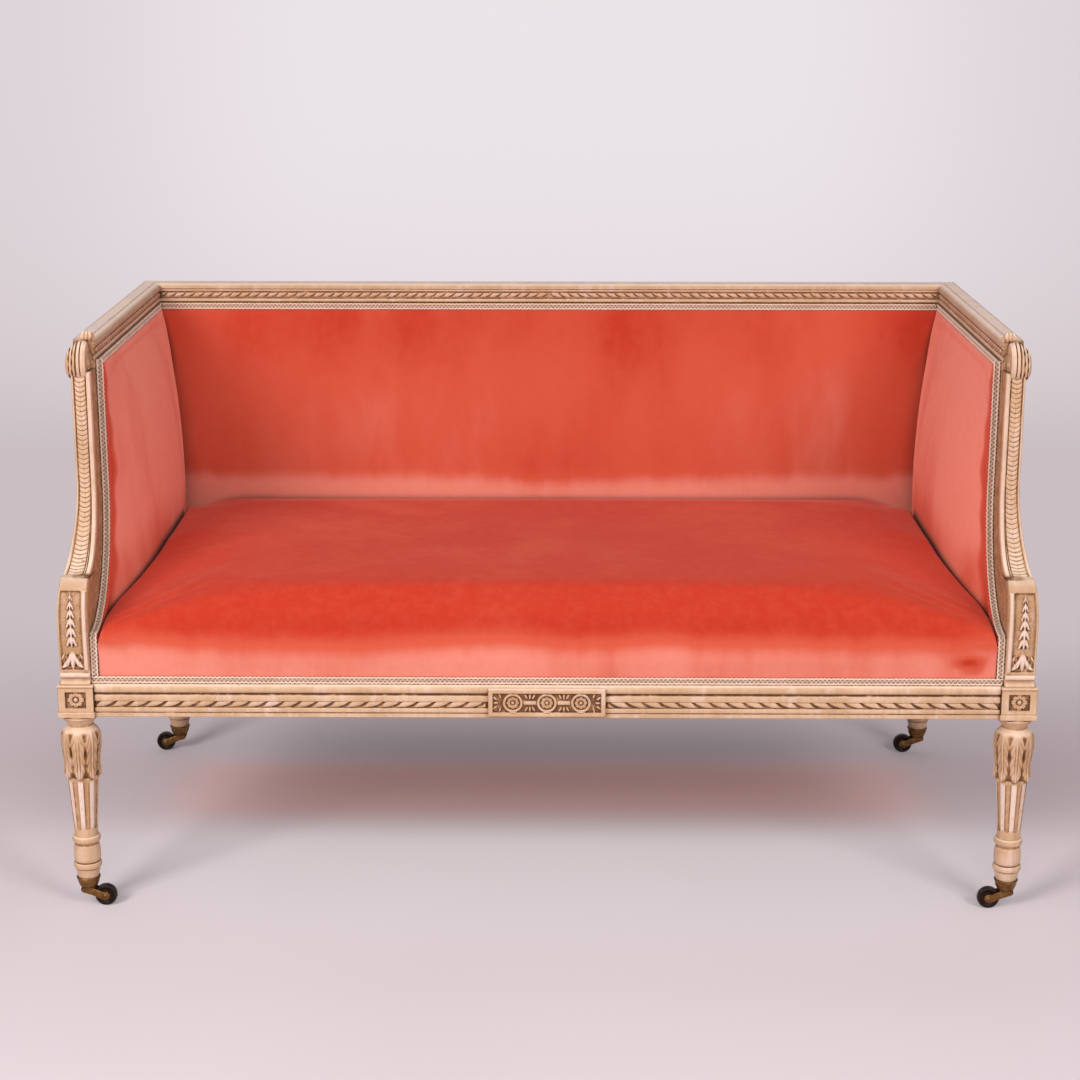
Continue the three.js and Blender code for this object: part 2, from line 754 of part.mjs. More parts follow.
const innerBeadFoot = rabbetHeight + (topRailHeight - rabbetHeight - innerBeadHeight - innerStepHeight
  - dashBandHeight - innerGrooveHeight - 2 * innerFilletHeight);
const dashFoot = innerBeadFoot + innerBeadHeight + innerStepHeight;
const innerGrooveFoot = dashFoot + dashBandHeight;
const innerFilletFoot = innerGrooveFoot + innerGrooveHeight;
const creamFoot = innerFilletFoot + innerFilletHeight;
const grooveFace = topRailThickness - innerGrooveDepth;
const topRailOutline = [
  [0, 0], [topRailThickness - rabbetDepth, 0], [topRailThickness - rabbetDepth, rabbetHeight],
  ...beadPoints(topRailThickness - innerBeadHeight / 2 - innerFilletInset, innerBeadFoot, innerBeadHeight),
  [grooveFace, innerBeadFoot + innerBeadHeight], [grooveFace, dashFoot],
  [topRailThickness - dashBandInset, dashFoot], [topRailThickness - dashBandInset, innerGrooveFoot],
  [grooveFace, innerGrooveFoot], [grooveFace, innerFilletFoot],
  [topRailThickness - innerFilletInset, innerFilletFoot], [topRailThickness - innerFilletInset, creamFoot],
  [topRailThickness, creamFoot], [topRailThickness, topRailHeight - topRoundingRadius],
  [topRailThickness - topRoundingRadius, topRailHeight], [topRoundingRadius, topRailHeight],
  [0, topRailHeight - topRoundingRadius],
];

const scrollY = stileFront - scrollForward + scrollRadius;
const scrollZ = topHeight - scrollRadius;
const scrollOuter = armOuter + scrollOverhang;
const scrollInner = scrollOuter - scrollWidth;

// The part of a rail past the mitre, an upright plane at 45 degrees through the right corner
function mitreWaste(sign) {
  const reach = 4 * topRailThickness;
  const shift = sign * (reach - fitGap) / 2 * Math.SQRT1_2;
  return new THREE.BoxGeometry(reach, reach, reach).rotateZ(Math.PI / 4)
    .translate(armOuter - shift, backY + shift, topHeight);
}

function backTopRail() {
  const rail = moulding(topRailOutline, armFrameWidth, outwardFront).translate(0, backY, topRailUnderside);
  return cut(rail, mitreWaste(-1), mirrored(mitreWaste(-1)));
}

// The volute line cut into both ends of the scroll
function scrollGroove() {
  const outer = [];
  const inner = [];
  for (let i = 0; i <= scrollGrooveSteps; i += 1) {
    const share = i / scrollGrooveSteps;
    const angle = Math.PI / 2 - share * scrollGrooveTurns * 2 * Math.PI;
    const radius = scrollRadius - scrollGrooveWidth
      + (scrollEyeRadius + scrollGrooveWidth / 2 - scrollRadius + scrollGrooveWidth) * share;
    const reach = (offset) => [(radius + offset) * Math.cos(angle), (radius + offset) * Math.sin(angle)];
    outer.push(reach(scrollGrooveWidth / 2));
    inner.push(reach(-scrollGrooveWidth / 2));
  }
  return [...outer, ...inner.reverse()];
}

function scrollEnd() {
  const along = (geometry) => geometry.rotateY(Math.PI / 2);
  const drum = along(new THREE.CylinderGeometry(scrollRadius, scrollRadius, scrollWidth, scrollSides)
    .rotateX(Math.PI / 2));
  const eye = along(new THREE.CylinderGeometry(
    scrollEyeRadius, scrollEyeRadius, scrollWidth + 2 * scrollEyeRise, rosetteSides).rotateX(Math.PI / 2));
  const half = scrollWidth / 2;
  const grooves = [
    plateAcross(scrollGroove(), -half - overrun, -half + scrollGrooveDepth),
    plateAcross(scrollGroove(), half - scrollGrooveDepth, half + overrun),
  ];
  const carved = fuse(cut(drum, ...grooves), eye);
  return carved.translate((scrollOuter + scrollInner) / 2, scrollY, scrollZ);
}

// The leaf tip that curls forward over the scroll, as shares of its length and rise from its foot
const leafCurlShares = [
  [0.3, -0.6], [0.55, -0.6], [0.62, 0.1], [0.52, 0.62], [0.2, 0.96], [-0.16, 1.0], [-0.46, 0.78],
  [-0.55, 0.42], [-0.3, 0.5], [-0.05, 0.58], [0.18, 0.38], [0.24, 0],
];

function leafCurl() {
  const outline = leafCurlShares.map(([y, z]) => [y * leafCurlLength, z * leafCurlRise]);
  const nearX = armPlane - rabbetDepth - innerFilletInset;
  return plateAcross(outline, nearX, nearX + leafCurlWidth).translate(0, scrollY, topHeight);
}

function armRail() {
  const start = scrollY + scrollRadius / 2;
  const length = backY - start;
  const rail = moulding(topRailOutline, length, new THREE.Vector3(-1, 0, 0))
    .translate(armOuter, start + length / 2, topRailUnderside);
  const whole = fuse(cut(rail, mitreWaste(1)), scrollEnd(), leafCurl());
  return cut(whole, stileTenonBox(fitGap));
}

function scrollSeat() {
  return new THREE.CylinderGeometry(
    scrollRadius + fitGap, scrollRadius + fitGap, scrollWidth + 2 * overrun, scrollSides)
    .rotateZ(Math.PI / 2).translate((scrollOuter + scrollInner) / 2, scrollY, scrollZ);
}

// The stile ends under the scroll, and its tenon goes on up into the arm rail
const supportSolid = fuse(cut(armSupport(), scrollSeat()), stileTenonBox(0));
const armRailSolid = armRail();
add('back_top_rail', backTopRail(), paint, [0, backY, topRailUnderside]);
for (const [side, sign] of sides) {
  add(`arm_support_${side}`, handed(supportSolid, sign), paint, [sign * frontAxisX, frontAxisY, railTop]);
  add(`arm_rail_${side}`, handed(armRailSolid, sign), paint, [sign * armOuter, scrollY, topRailUnderside]);
}

// Upholstery

const padTop = topRailUnderside + rabbetHeight / 2 - gimpWidth / 2 - fitGap;
const padFoot = railTop + fitGap;
const gimpTopZ = topRailUnderside + rabbetHeight / 2;
const gimpOuterX = armPlane - fitGap;
const gimpInnerX = gimpOuterX - gimpWidth;
const armPadFrontEdge = padBaseX - gimpInnerX;
const seatHalfWidth = gimpInnerX;
const padMargin = gimpThickness / 2 + fitGap;
const padHeight = padTop - padFoot;

// Fullness of an upright pad by height: none at the top rail, most just above the seat
const fullestShare = 0.32;
const fullnessPower = 2.2;
const footFullnessShare = 0.88;
function fullness(z) {
  const share = (z - padFoot) / padHeight;
  if (share < fullestShare) return footFullnessShare + (1 - footFullnessShare) * share / fullestShare;
  return 1 - ((share - fullestShare) / (1 - fullestShare)) ** fullnessPower;
}

// Thickness of the arm pad: full in the middle, drawn in at the back and down to the braid
function armPadThickness(y, z, front) {
  const nearFront = 1 - smooth(y, front, front + armPadRimReach);
  const underTop = 1 - smooth(z, padTop - armPadRimReach, padTop);
  const edge = armPadEdge + (armPadFrontEdge - armPadEdge) * nearFront * underTop;
  const end = padBaseY - backPadCrown;
  const crown = armPadCrown + (armPadEndCrown - armPadCrown) * smooth(y, end - armPadEndReach, end);
  return edge + (crown - edge) * smooth(y, front, front + armPadReach) * fullness(z);
}

function armPad(play) {
  const frontAt = (z) => Math.max(armLineY(z, padMargin), seatFrontFoot);
  const place = (u, v) => {
    const z = padFoot + v * padHeight;
    const front = frontAt(z);
    return [front + u * (padBaseY - fitGap - front), z];
  };
  const surface = (u, v) => {
    const [y, z] = place(u, v);
    return new THREE.Vector3(padBaseX - play - armPadThickness(y, z, frontAt(z)), y, z);
  };
  const base = (u, v) => new THREE.Vector3(padBaseX, ...place(u, v));
  return pad(armPadColumns, armPadRows, surface, base);
}

function backPad(play) {
  const half = padBaseX - fitGap;
  const place = (u, v) => [half * (2 * u - 1), padFoot + v * padHeight];
  const surface = (u, v) => {
    const [x, z] = place(u, v);
    const across = 1 - Math.abs(x / half) ** padSidePower;
    const swell = backPadEdge + (backPadCrown - backPadEdge) * fullness(z) * across;
    return new THREE.Vector3(x, padBaseY - play - swell, z);
  };
  const base = (u, v) => {
    const [x, z] = place(u, v);
    return new THREE.Vector3(x, padBaseY, z);
  };
  return pad(backPadColumns, backPadRows, surface, base);
}

const seatBack = padBaseY - fitGap;
const springSpanX = frontAxisX - springEndMargin - springRadius;
const springFrontY = frontRailFace + seatRailThickness + springRadius + springSideMargin;
const springBackY = backRailInner - springRadius - springBackMargin;
const cavityTop = railUnderside + springHeight + cavityClearance;
const springCavity = block(
  [-springSpanX - springRadius - cavityClearance, springFrontY - springRadius - cavityClearance,
    railUnderside],
  [springSpanX + springRadius + cavityClearance, springBackY + springRadius + cavityClearance, cavityTop]);

// Shapes of the seat: shares of its depth and of its roll, and the powers of its curves
const rollShare = 0.36;
const rollPowerShare = 0.75;
const rollSidePowerShare = 0.4;
const tuckShare = 0.4;
const seatSidePower = 6;
const seatCornerShare = 0.6;
const seatLevelShare = 0.66;

function seatPad() {
  const crestY = seatFrontFoot - seatRollOverhang + seatRollDepth;
  const place = (u, v) => {
    const x = seatHalfWidth * (2 * u - 1);
    if (v >= rollShare) {
      return { x, y: crestY + (seatBack - crestY) * (v - rollShare) / (1 - rollShare), angle: null };
    }
    const angle = Math.PI / 2 * v / rollShare;
    return { x, y: seatFrontFoot + (crestY - seatFrontFoot) * (1 - Math.cos(angle)), angle };
  };
  const surface = (u, v) => {
    const { x, y, angle } = place(u, v);
    const along = Math.min((y - seatFrontFoot) / (seatBack - seatFrontFoot) / seatLevelShare, 1);
    const edge = seatCornerShare + (1 - seatCornerShare) * along;
    const away = Math.abs(x / seatHalfWidth) ** seatSidePower;
    const side = 1 + (edge - 1) * away;
    const top = padFoot + seatEdgeHeight;
    if (angle === null) return new THREE.Vector3(x, y, top + seatCrown * side);
    const power = rollPowerShare + (rollSidePowerShare - rollPowerShare) * away;
    const tuck = Math.max(0, 1 - v / rollShare / tuckShare) ** 2;
    const rolled = crestY - seatRollDepth * Math.cos(angle) ** power + seatRollOverhang * tuck;
    return new THREE.Vector3(x, rolled, top + seatCrown * side * Math.sin(angle) ** power);
  };
  const base = (u, v) => {
    const { x, y } = place(u, v);
    return new THREE.Vector3(x, y, padFoot);
  };
  const whole = pad(seatColumns, seatRows, surface, base);
  const braidRoom = armBraid(2 * fitGap);
  return cut(whole, springCavity, armPad(padGap), mirrored(armPad(padGap)), backPad(padGap),
    braidRoom, mirrored(braidRoom));
}

add('seat_pad', seatPad(), velvet, [0, 0, padFoot]);
add('back_pad', backPad(0), velvet, [0, padBaseY, padFoot]);

// Hessian behind the pads, and the outside panels
const hessianTop = topRailUnderside + rabbetHeight - fitGap;

function lineDown(low, high) {
  const points = [];
  for (let i = 0; i <= lineSteps; i += 1) {
    const drop = Math.sin(Math.PI / 2 * i / lineSteps);
    const z = sweepBack - (sweepBack - gimpSweepFoot) * drop;
    points.push([armLineY(z, 0), z]);
  }
  return [[gimpStileY, high], ...points, [gimpFootY, low]];
}

function armHessian() {
  const outline = [...lineDown(padFoot, hessianTop),
    [backPlane - fitGap, padFoot], [backPlane - fitGap, hessianTop]];
  const cloth = plateAcross(outline, padBaseX + fitGap, padBaseX + fitGap + hessianThickness);
  return cut(cloth, forwardOfBraid, armBraid(fitGap), seatBraid(fitGap));
}

const hessianY = padBaseY + fitGap;
const backHessianHalf = padBaseX;
add('back_hessian', block(
  [-backHessianHalf, hessianY, padFoot], [backHessianHalf, hessianY + hessianThickness, hessianTop]), jute,
[0, hessianY, padFoot]);

const panelTop = topRailUnderside - fitGap;
const armPanelOuter = armPlane + armPanelStandoff;
function outsideArmPanel() {
  const front = supportRows().map(([z]) => [supportBack(z) + panelSeam, z]);
  const outline = [...front, [backPlane - panelSeam, panelTop], [backPlane - panelSeam, padFoot]];
  return plateAcross(outline, armPanelOuter - outsidePanelThickness, armPanelOuter);
}

const backPanelOuter = rearDieBack - outsidePanelInset;
add('outside_back_panel', block(
  [-armPlane + panelSeam, backPanelOuter - outsidePanelThickness, padFoot],
  [armPlane - panelSeam, backPanelOuter, panelTop]), velvet, [0, backPanelOuter, padFoot]);

// Braid: a flat band that follows a line of [y, z] points, as a closed outline
function bandOutline(line, width) {
  const side = (offset) => line.map(([y, z], i) => {
    const [py, pz] = line[Math.max(i - 1, 0)];
    const [ny, nz] = line[Math.min(i + 1, line.length - 1)];
    const before = new THREE.Vector2(y - py, z - pz).normalize();
    const after = new THREE.Vector2(ny - y, nz - z).normalize();
    const mean = before.clone().add(after).normalize();
    const lead = before.lengthSq() ? before : after;
    const reach = offset / Math.max(mean.dot(lead), mitreLimitShare);
    return [y - mean.y * reach, z + mean.x * reach];
  });
  return [...side(width / 2), ...side(-width / 2).reverse()];
}

// Along the arm rail the braid lies on the inner side; down the stile it stands across the pad's edge
function armBraid(play) {
  const head = gimpTopZ + gimpWidth / 2;
  const line = lineDown(padFoot + gimpWidth + fitGap, head);
  const down = plateAcross(bandOutline(line, gimpThickness + 2 * play), gimpInnerX - play, gimpOuterX + play);
  const level = block(
    [padBaseX - gimpThickness - play, gimpStileY, head - gimpWidth - play],
    [padBaseX + play, padBaseY - backPadEdge - 2 * fitGap + play, head]);
  return fuse(down, level);
}

function seatBraid(play) {
  const face = seatFrontFoot - fitGap;
  const half = armPlane - 2 * fitGap + play;
  return block(
    [-half, face - gimpThickness - play, padFoot - play], [half, face + play, padFoot + gimpWidth + play]);
}

const forwardOfBraid = plateAcross(
  [...lineDown(padFoot - overrun, topHeight), [frontY, padFoot - overrun], [frontY, topHeight]],
  padBaseX - armPadCrown - overrun, padBaseX + overrun);
const armPadSolid = cut(armPad(0), backPad(padGap), forwardOfBraid, armBraid(fitGap), seatBraid(fitGap));
add('braid_back', block(
  [-padBaseX + gimpThickness + fitGap, padBaseY - gimpThickness, gimpTopZ - gimpWidth / 2],
  [padBaseX - gimpThickness - fitGap, padBaseY, gimpTopZ + gimpWidth / 2]), braid, [0, padBaseY, gimpTopZ]);
add('braid_seat', seatBraid(0), braid, [0, seatFrontFoot, padFoot]);

for (const [side, sign] of sides) {
  add(`arm_pad_${side}`, handed(armPadSolid, sign), velvet, [sign * padBaseX, 0, padFoot]);
  add(`arm_hessian_${side}`, handed(armHessian(), sign), jute, [sign * padBaseX, 0, padFoot]);
  add(`outside_arm_panel_${side}`, handed(outsideArmPanel(), sign), velvet,
    [sign * armPanelOuter, 0, padFoot]);
  add(`braid_arm_${side}`, handed(armBraid(0), sign), braid, [sign * padBaseX, 0, padFoot]);
}

// Seat platform

function trapezoid(frontX, backX, nearY, farY) {
  return [[-frontX, nearY], [frontX, nearY], [backX, farY], [-backX, farY]];
}

function plateLevel(outline, low, high) {
  const shape = new THREE.Shape(outline.map(([x, y]) => new THREE.Vector2(x, y)));
  return new THREE.ExtrudeGeometry(shape, { depth: high - low, bevelEnabled: false }).translate(0, 0, low);
}

const frontDieRoom = block(
  [frontDieInner - coverMargin, frontY, 0], [armFrameWidth, sideRailFrontY + coverMargin, topHeight]);
const rearDieRoom = block(
  [rearDieInner - coverMargin, sideRailBackY - coverMargin, 0], [armFrameWidth, backY, topHeight]);
const platformFrontY = frontRailFace + seatRailThickness / 2;
const platformBackY = backRailInner + seatRailThickness / 2;

// Jute webs under the rails, laid both ways with a gap between each two
function seatWebbing() {
  const top = railUnderside - fitGap;
  const foot = top - webThickness;
  const webs = [];
  const columns = Math.floor(sideRailBackX / (2 * webWidth));
  const rows = Math.floor((platformBackY - platformFrontY) / (3 * webWidth));
  const endX = sideRailBackX - webWidth;
  const endY = (platformBackY - platformFrontY - webWidth) / 2;
  const middleY = (platformBackY + platformFrontY) / 2;
  for (let i = 0; i <= columns; i += 1) {
    const x = endX * (2 * i / columns - 1);
    webs.push(block([x - webWidth / 2, platformFrontY, foot], [x + webWidth / 2, platformBackY, top]));
  }
  for (let j = 0; j <= rows; j += 1) {
    const y = middleY + endY * (2 * j / rows - 1);
    webs.push(block([-sideRailFrontX, y - webWidth / 2, foot], [sideRailFrontX, y + webWidth / 2, top]));
  }
  const space = plateLevel(
    trapezoid(sideRailFrontX, sideRailBackX, platformFrontY, platformBackY), foot - overrun, top + overrun);
  return cut(keepInside(fuse(...webs), space),
    frontDieRoom, mirrored(frontDieRoom), rearDieRoom, mirrored(rearDieRoom));
}

function dustCover() {
  const top = railUnderside - webThickness - 2 * fitGap;
  const plate = plateLevel(
    trapezoid(sideRailFrontX, sideRailBackX, platformFrontY, platformBackY), top - dustCoverThickness, top);
  return cut(plate, frontDieRoom, mirrored(frontDieRoom), rearDieRoom, mirrored(rearDieRoom));
}

// An hourglass spring whose first and last half turns lie flat
function coilSpring() {
  const steps = springTurns * springSteps;
  const flat = springSteps / 2;
  const rise = springHeight - springWire;
  const rings = [];
  for (let i = 0; i <= steps; i += 1) {
    const angle = Math.PI + 2 * Math.PI * i / springSteps;
    const share = Math.min(Math.max((i - flat) / (steps - 2 * flat), 0), 1);
    const radius = springWaist + (springRadius - springWaist) * Math.abs(2 * i / steps - 1);
    const out = new THREE.Vector3(Math.cos(angle), Math.sin(angle), 0);
    const heart = out.clone().multiplyScalar(radius).setZ(springWire / 2 + rise * share);
    rings.push(Array.from({ length: springWireSides }, (_, k) => {
      const turn = 2 * Math.PI * k / springWireSides + Math.PI / 2;
      return heart.clone()
        .addScaledVector(out, springWire / 2 * Math.cos(turn))
        .add(new THREE.Vector3(0, 0, springWire / 2 * Math.sin(turn)));
    }));
  }
  return loft(rings);
}

function springUnit() {
  const low = railUnderside + fitGap;
  const tieZ = low + springHeight - springWire / 2;
  const pieces = [];
  const spacing = (i, count, from, to) => from + (to - from) * (count > 1 ? i / (count - 1) : 0);
  for (let j = 0; j < springRows; j += 1) {
    const y = spacing(j, springRows, springFrontY, springBackY);
    pieces.push(block([-springSpanX - springRadius, y - tieThickness / 2, tieZ - tieThickness / 2],
      [springSpanX + springRadius, y + tieThickness / 2, tieZ + tieThickness / 2]));
    for (let i = 0; i < springColumns; i += 1) {
      pieces.push(coilSpring().translate(spacing(i, springColumns, -springSpanX, springSpanX), y, low));
    }
  }
  for (let i = 0; i < springColumns; i += 1) {
    const x = spacing(i, springColumns, -springSpanX, springSpanX);
    pieces.push(block([x - tieThickness / 2, springFrontY - springRadius, tieZ - tieThickness / 2],
      [x + tieThickness / 2, springBackY + springRadius, tieZ + tieThickness / 2]));
  }
  return fuse(...pieces);
}

add('seat_webbing', seatWebbing(), jute, [0, 0, railUnderside]);
add('dust_cover', dustCover(), cambric, [0, 0, railUnderside]);
add('seat_springs', springUnit(), steel, [0, 0, railUnderside]);

// A triangular brace in the corner at (x, y), with its long side towards the middle of the seat
function brace(x, y, towardsBack) {
  const shape = [[x + overrun, y - towardsBack * overrun], [x - braceLeg, y - towardsBack * overrun],
    [x + overrun, y + towardsBack * braceLeg]];
  return plateLevel(shape, railUnderside + braceRise, railUnderside + braceRise + braceHeight);
}

const sideRailRoom = sideRailPlace(block(
  [-fitGap, -sideRailRun, -fitGap], [seatRailThickness + fitGap, sideRailRun, seatRailHeight + fitGap]));
const frontDieSpace = block(
  [frontDieInner - fitGap, frontY, railUnderside - overrun],
  [armFrameWidth, sideRailFrontY + fitGap, topHeight]);
const rearDieSpace = block(
  [rearDieInner - fitGap, sideRailBackY - fitGap, railUnderside - overrun],
  [armFrameWidth, backY, topHeight]);
const frontBrace = cut(brace(sideRailFrontX, frontRailFace + seatRailThickness + fitGap + overrun, 1),
  sideRailRoom, frontDieSpace, block(
    [-armFrameWidth, frontY, 0], [armFrameWidth, frontRailFace + seatRailThickness + fitGap, topHeight]));
const rearBrace = cut(brace(sideRailBackX, backRailInner - fitGap - overrun, -1),
  sideRailRoom, rearDieSpace, block(
    [-armFrameWidth, backRailInner - fitGap, 0], [armFrameWidth, backY, topHeight]));
for (const [side, sign] of sides) {
  add(`corner_brace_front_${side}`, handed(frontBrace, sign), bareWood,
    [sign * frontDieInner, sideRailFrontY, railUnderside]);
  add(`corner_brace_rear_${side}`, handed(rearBrace, sign), bareWood,
    [sign * rearDieInner, sideRailBackY, railUnderside]);
}

// Castors, each built over its own swivel axis with the wheel towards +X

const plateTop = cupBottom - swivelGap;
const plateFoot = plateTop - swivelPlateThickness;
const crownFoot = plateFoot - forkCrownThickness;
const cheekInner = hubHalfWidth + forkCheekGap;
const cheekOuter = cheekInner + forkCheekThickness;

// The cup has as many facets as the leg's foot, which it grips all round
function castorCup() {
  const beadFoot = cupTop - cupBeadHeight;
  const floorTop = cupBottom + cupFloor;
  const bore = swivelPinRadius + swivelPinClearance;
  const outerAt = (z) => cupInnerRadius(z) + cupWall;
  return turned([
    [cupBottom, bore], [cupBottom, cupBottomRadius], [beadFoot, outerAt(beadFoot)], [beadFoot, cupBeadRadius],
    [cupTop, cupBeadRadius], [cupTop, cupInnerRadius(cupTop)], [floorTop, cupInnerRadius(floorTop)],
    [floorTop, bore], [cupBottom, bore],
  ], legSides);
}

// The cheek's side view: from the crown under the plate down to a round boss at the axle
function cheekOutline() {
  const points = [[-forkCrownReach, plateFoot], [-forkCrownReach, crownFoot]];
  for (let i = 0; i <= beadSteps + 1; i += 1) {
    const angle = -Math.PI * 3 / 4 + Math.PI * i / (beadSteps + 1);
    points.push([
      castorTrail + forkHubRadius * Math.cos(angle), wheelRadius + forkHubRadius * Math.sin(angle)]);
  }
  points.push([swivelPlateRadius, plateFoot]);
  return points;
}

function castorFork() {
  const headFoot = cupBottom + cupFloor + swivelGap;
  const plate = turned([
    [plateFoot, 0], [plateFoot, swivelPlateRadius], [plateTop, swivelPlateRadius],
    [plateTop, swivelPinRadius], [headFoot, swivelPinRadius], [headFoot, swivelPinHeadRadius],
    [headFoot + swivelPinHeadHeight, 0],
  ], castorSides);
  const crown = block(
    [-forkCrownReach, -cheekOuter, crownFoot], [forkCrownReach, cheekOuter, plateFoot + fitGap]);
  const shape = new THREE.Shape(cheekOutline().map(([x, z]) => new THREE.Vector2(x, z)));
  const cheek = (near) => new THREE.ExtrudeGeometry(shape, { depth: forkCheekThickness, bevelEnabled: false })
    .rotateX(Math.PI / 2).translate(0, near + forkCheekThickness, 0);
  const bore = axleCylinder(axleRadius + axleClearance, 2 * cheekOuter + overrun);
  return cut(fuse(plate, crown, cheek(cheekInner), cheek(-cheekOuter)), bore);
}

function axleCylinder(radius, length) {
  return new THREE.CylinderGeometry(radius, radius, length, pinSides).translate(castorTrail, 0, wheelRadius);
}

function castorAxle() {
  const end = cheekOuter + fitGap;
  const headFace = end + axleHeadHeight;
  const headFlat = axleHeadRadius * domeShoulderShare;
  const profile = [
    [-headFace, 0], [-headFace, headFlat], [-end, axleHeadRadius], [-end, axleRadius],
    [end, axleRadius], [end, axleHeadRadius], [headFace, headFlat], [headFace, 0],
  ];
  return turned(profile, pinSides).rotateX(Math.PI / 2).translate(castorTrail, 0, wheelRadius);
}

// The wheel stands on one flat of its tread, so its corners lie a little outside the true radius
function castorWheel() {
  const bore = axleRadius + axleClearance;
  const halfStep = Math.PI / castorSides;
  const tread = wheelRadius / Math.cos(halfStep);
  const rimFoot = wheelRadius - wheelRimWidth;
  const half = [
    [hubHalfWidth, bore], [hubHalfWidth, hubRadius], [wheelWebHalfWidth, hubRadius + wheelRimRounding],
    [wheelWebHalfWidth, rimFoot - wheelRimRounding], [wheelHalfWidth, rimFoot],
    [wheelHalfWidth, tread - wheelRimRounding], [wheelHalfWidth - wheelRimRounding, tread],
  ];
  const other = half.map(([side, radius]) => [-side, radius]);
  const profile = [...other, ...half.reverse(), [-hubHalfWidth, bore]];
  return turned(profile, castorSides).rotateZ(halfStep).rotateX(Math.PI / 2)
    .translate(castorTrail, 0, wheelRadius);
}

// Where each castor stands, and whether its wheel trails to the left as the photograph shows
const castors = [
  ['front_left', -frontAxisX, frontAxisY, 0],
  ['front_right', frontAxisX, frontAxisY, Math.PI],
  ['rear_left', -rearAxisX, rearAxisY, Math.PI],
  ['rear_right', rearAxisX, rearAxisY, Math.PI],
];
for (const [place, x, y, heading] of castors) {
  const castor = new THREE.Group();
  castor.position.set(x, y, 0);
  castor.rotation.z = heading;
  const pieces = [
    ['cup', castorCup(), brass, cupBottom, 0],
    ['fork', castorFork(), brass, cupBottom, 0],
    ['axle', castorAxle(), brass, wheelRadius, castorTrail],
    ['wheel', castorWheel(), darkWheel, wheelRadius, castorTrail],
  ];
  for (const [piece, geometry, material, z, trail] of pieces) {
    const mesh = new THREE.Mesh(geometry.translate(-trail, 0, -z), material);
    mesh.name = `castor_${place}_${piece}`;
    mesh.position.set(trail, 0, z);
    castor.add(mesh);
  }
  settee.add(castor);
}

export default settee;
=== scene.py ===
import json
import math

import bmesh
import bpy
import numpy as np
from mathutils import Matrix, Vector


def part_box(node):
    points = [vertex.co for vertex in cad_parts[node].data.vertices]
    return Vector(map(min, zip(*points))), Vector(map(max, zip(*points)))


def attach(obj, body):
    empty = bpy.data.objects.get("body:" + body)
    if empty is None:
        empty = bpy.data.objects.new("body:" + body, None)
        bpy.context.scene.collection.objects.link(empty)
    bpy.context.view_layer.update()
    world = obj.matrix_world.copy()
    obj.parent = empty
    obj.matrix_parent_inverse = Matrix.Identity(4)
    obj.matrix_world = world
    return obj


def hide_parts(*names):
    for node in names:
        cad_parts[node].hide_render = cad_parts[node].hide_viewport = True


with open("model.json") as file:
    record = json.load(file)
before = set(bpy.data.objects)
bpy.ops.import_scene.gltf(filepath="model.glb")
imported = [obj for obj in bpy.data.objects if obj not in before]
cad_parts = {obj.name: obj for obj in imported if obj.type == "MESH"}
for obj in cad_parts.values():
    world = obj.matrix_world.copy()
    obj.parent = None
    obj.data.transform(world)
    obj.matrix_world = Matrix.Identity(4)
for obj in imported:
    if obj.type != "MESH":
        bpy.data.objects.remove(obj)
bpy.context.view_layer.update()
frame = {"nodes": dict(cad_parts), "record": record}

# A painted box settee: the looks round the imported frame. All sizes are in metres.

# Camera and image
IMAGE_SIZE = 1080
FOCAL_PIXELS = 2243.5
SENSOR_WIDTH = 0.036
CAMERA_X = 0.010
CAMERA_DISTANCE = 2.9587
CAMERA_HEIGHT = 1.3164
CAMERA_TILT_DOWN = 14.737
CAMERA_PAN = 0.394
CAMERA_ROLL = -0.04

# Places that the CAD nodes give
RAIL_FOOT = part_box("side_seat_rail_right")[0].z
RAIL_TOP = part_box("back_seat_rail")[1].z
TOP_RAIL_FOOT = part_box("back_top_rail")[0].z
TOP_RAIL_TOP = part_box("back_top_rail")[1].z
BACK_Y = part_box("back_top_rail")[1].y
ARM_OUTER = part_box("back_top_rail")[1].x
CUP_FOOT, CUP_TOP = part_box("castor_front_right_cup")[0].z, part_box("castor_front_right_cup")[1].z


def middle(node):
    low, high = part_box(node)
    return (low + high) / 2


FRONT_AXIS = (middle("castor_front_right_cup").x, middle("castor_front_right_cup").y)
REAR_AXIS = (middle("castor_rear_right_cup").x, middle("castor_rear_right_cup").y)

# Sizes that the CAD source names
FIT_GAP = 0.0003
FRONT_DIE = (0.051, 0.050)
REAR_DIE = (0.058, 0.055)
SEAT_RAIL_THICKNESS = 0.030
SEAT_SETBACK = 0.012
RAIL_SETBACK = 0.005
REAR_RAIL_SETBACK = 0.003
TOP_RAIL_THICKNESS = 0.0305
RABBET_DEPTH = 0.003
RABBET_HEIGHT = 0.011
GIMP_WIDTH = 0.010
GIMP_THICKNESS = 0.0026
HESSIAN_THICKNESS = 0.0014
STILE_SETBACK = 0.108
STILE_DEPTH = 0.045
STILE_WIDTH = 0.0275
CONSOLE_WIDTH = 0.0415
CONSOLE_DEPTH = 0.046
CONSOLE_SETBACK = 0.003
CONSOLE_TOP = 0.484
CAP_HEIGHT = 0.062
CAP_DEPTH = 0.027
PANEL_BELLY = 0.004
PANEL_INSET = 0.004
PANEL_BORDER = 0.004
PANEL_HEAD_SETBACK = 0.016
TACK_MARGIN = 0.005
SWEEP_TOP = 0.600
SWEEP_REACH = 0.076
SWEEP_BACK = 0.585
GIMP_SWEEP_FOOT = 0.404
SCROLL_RADIUS = 0.024
SCROLL_WIDTH = 0.033
SCROLL_OVERHANG = 0.0095
SCROLL_FORWARD = 0.008

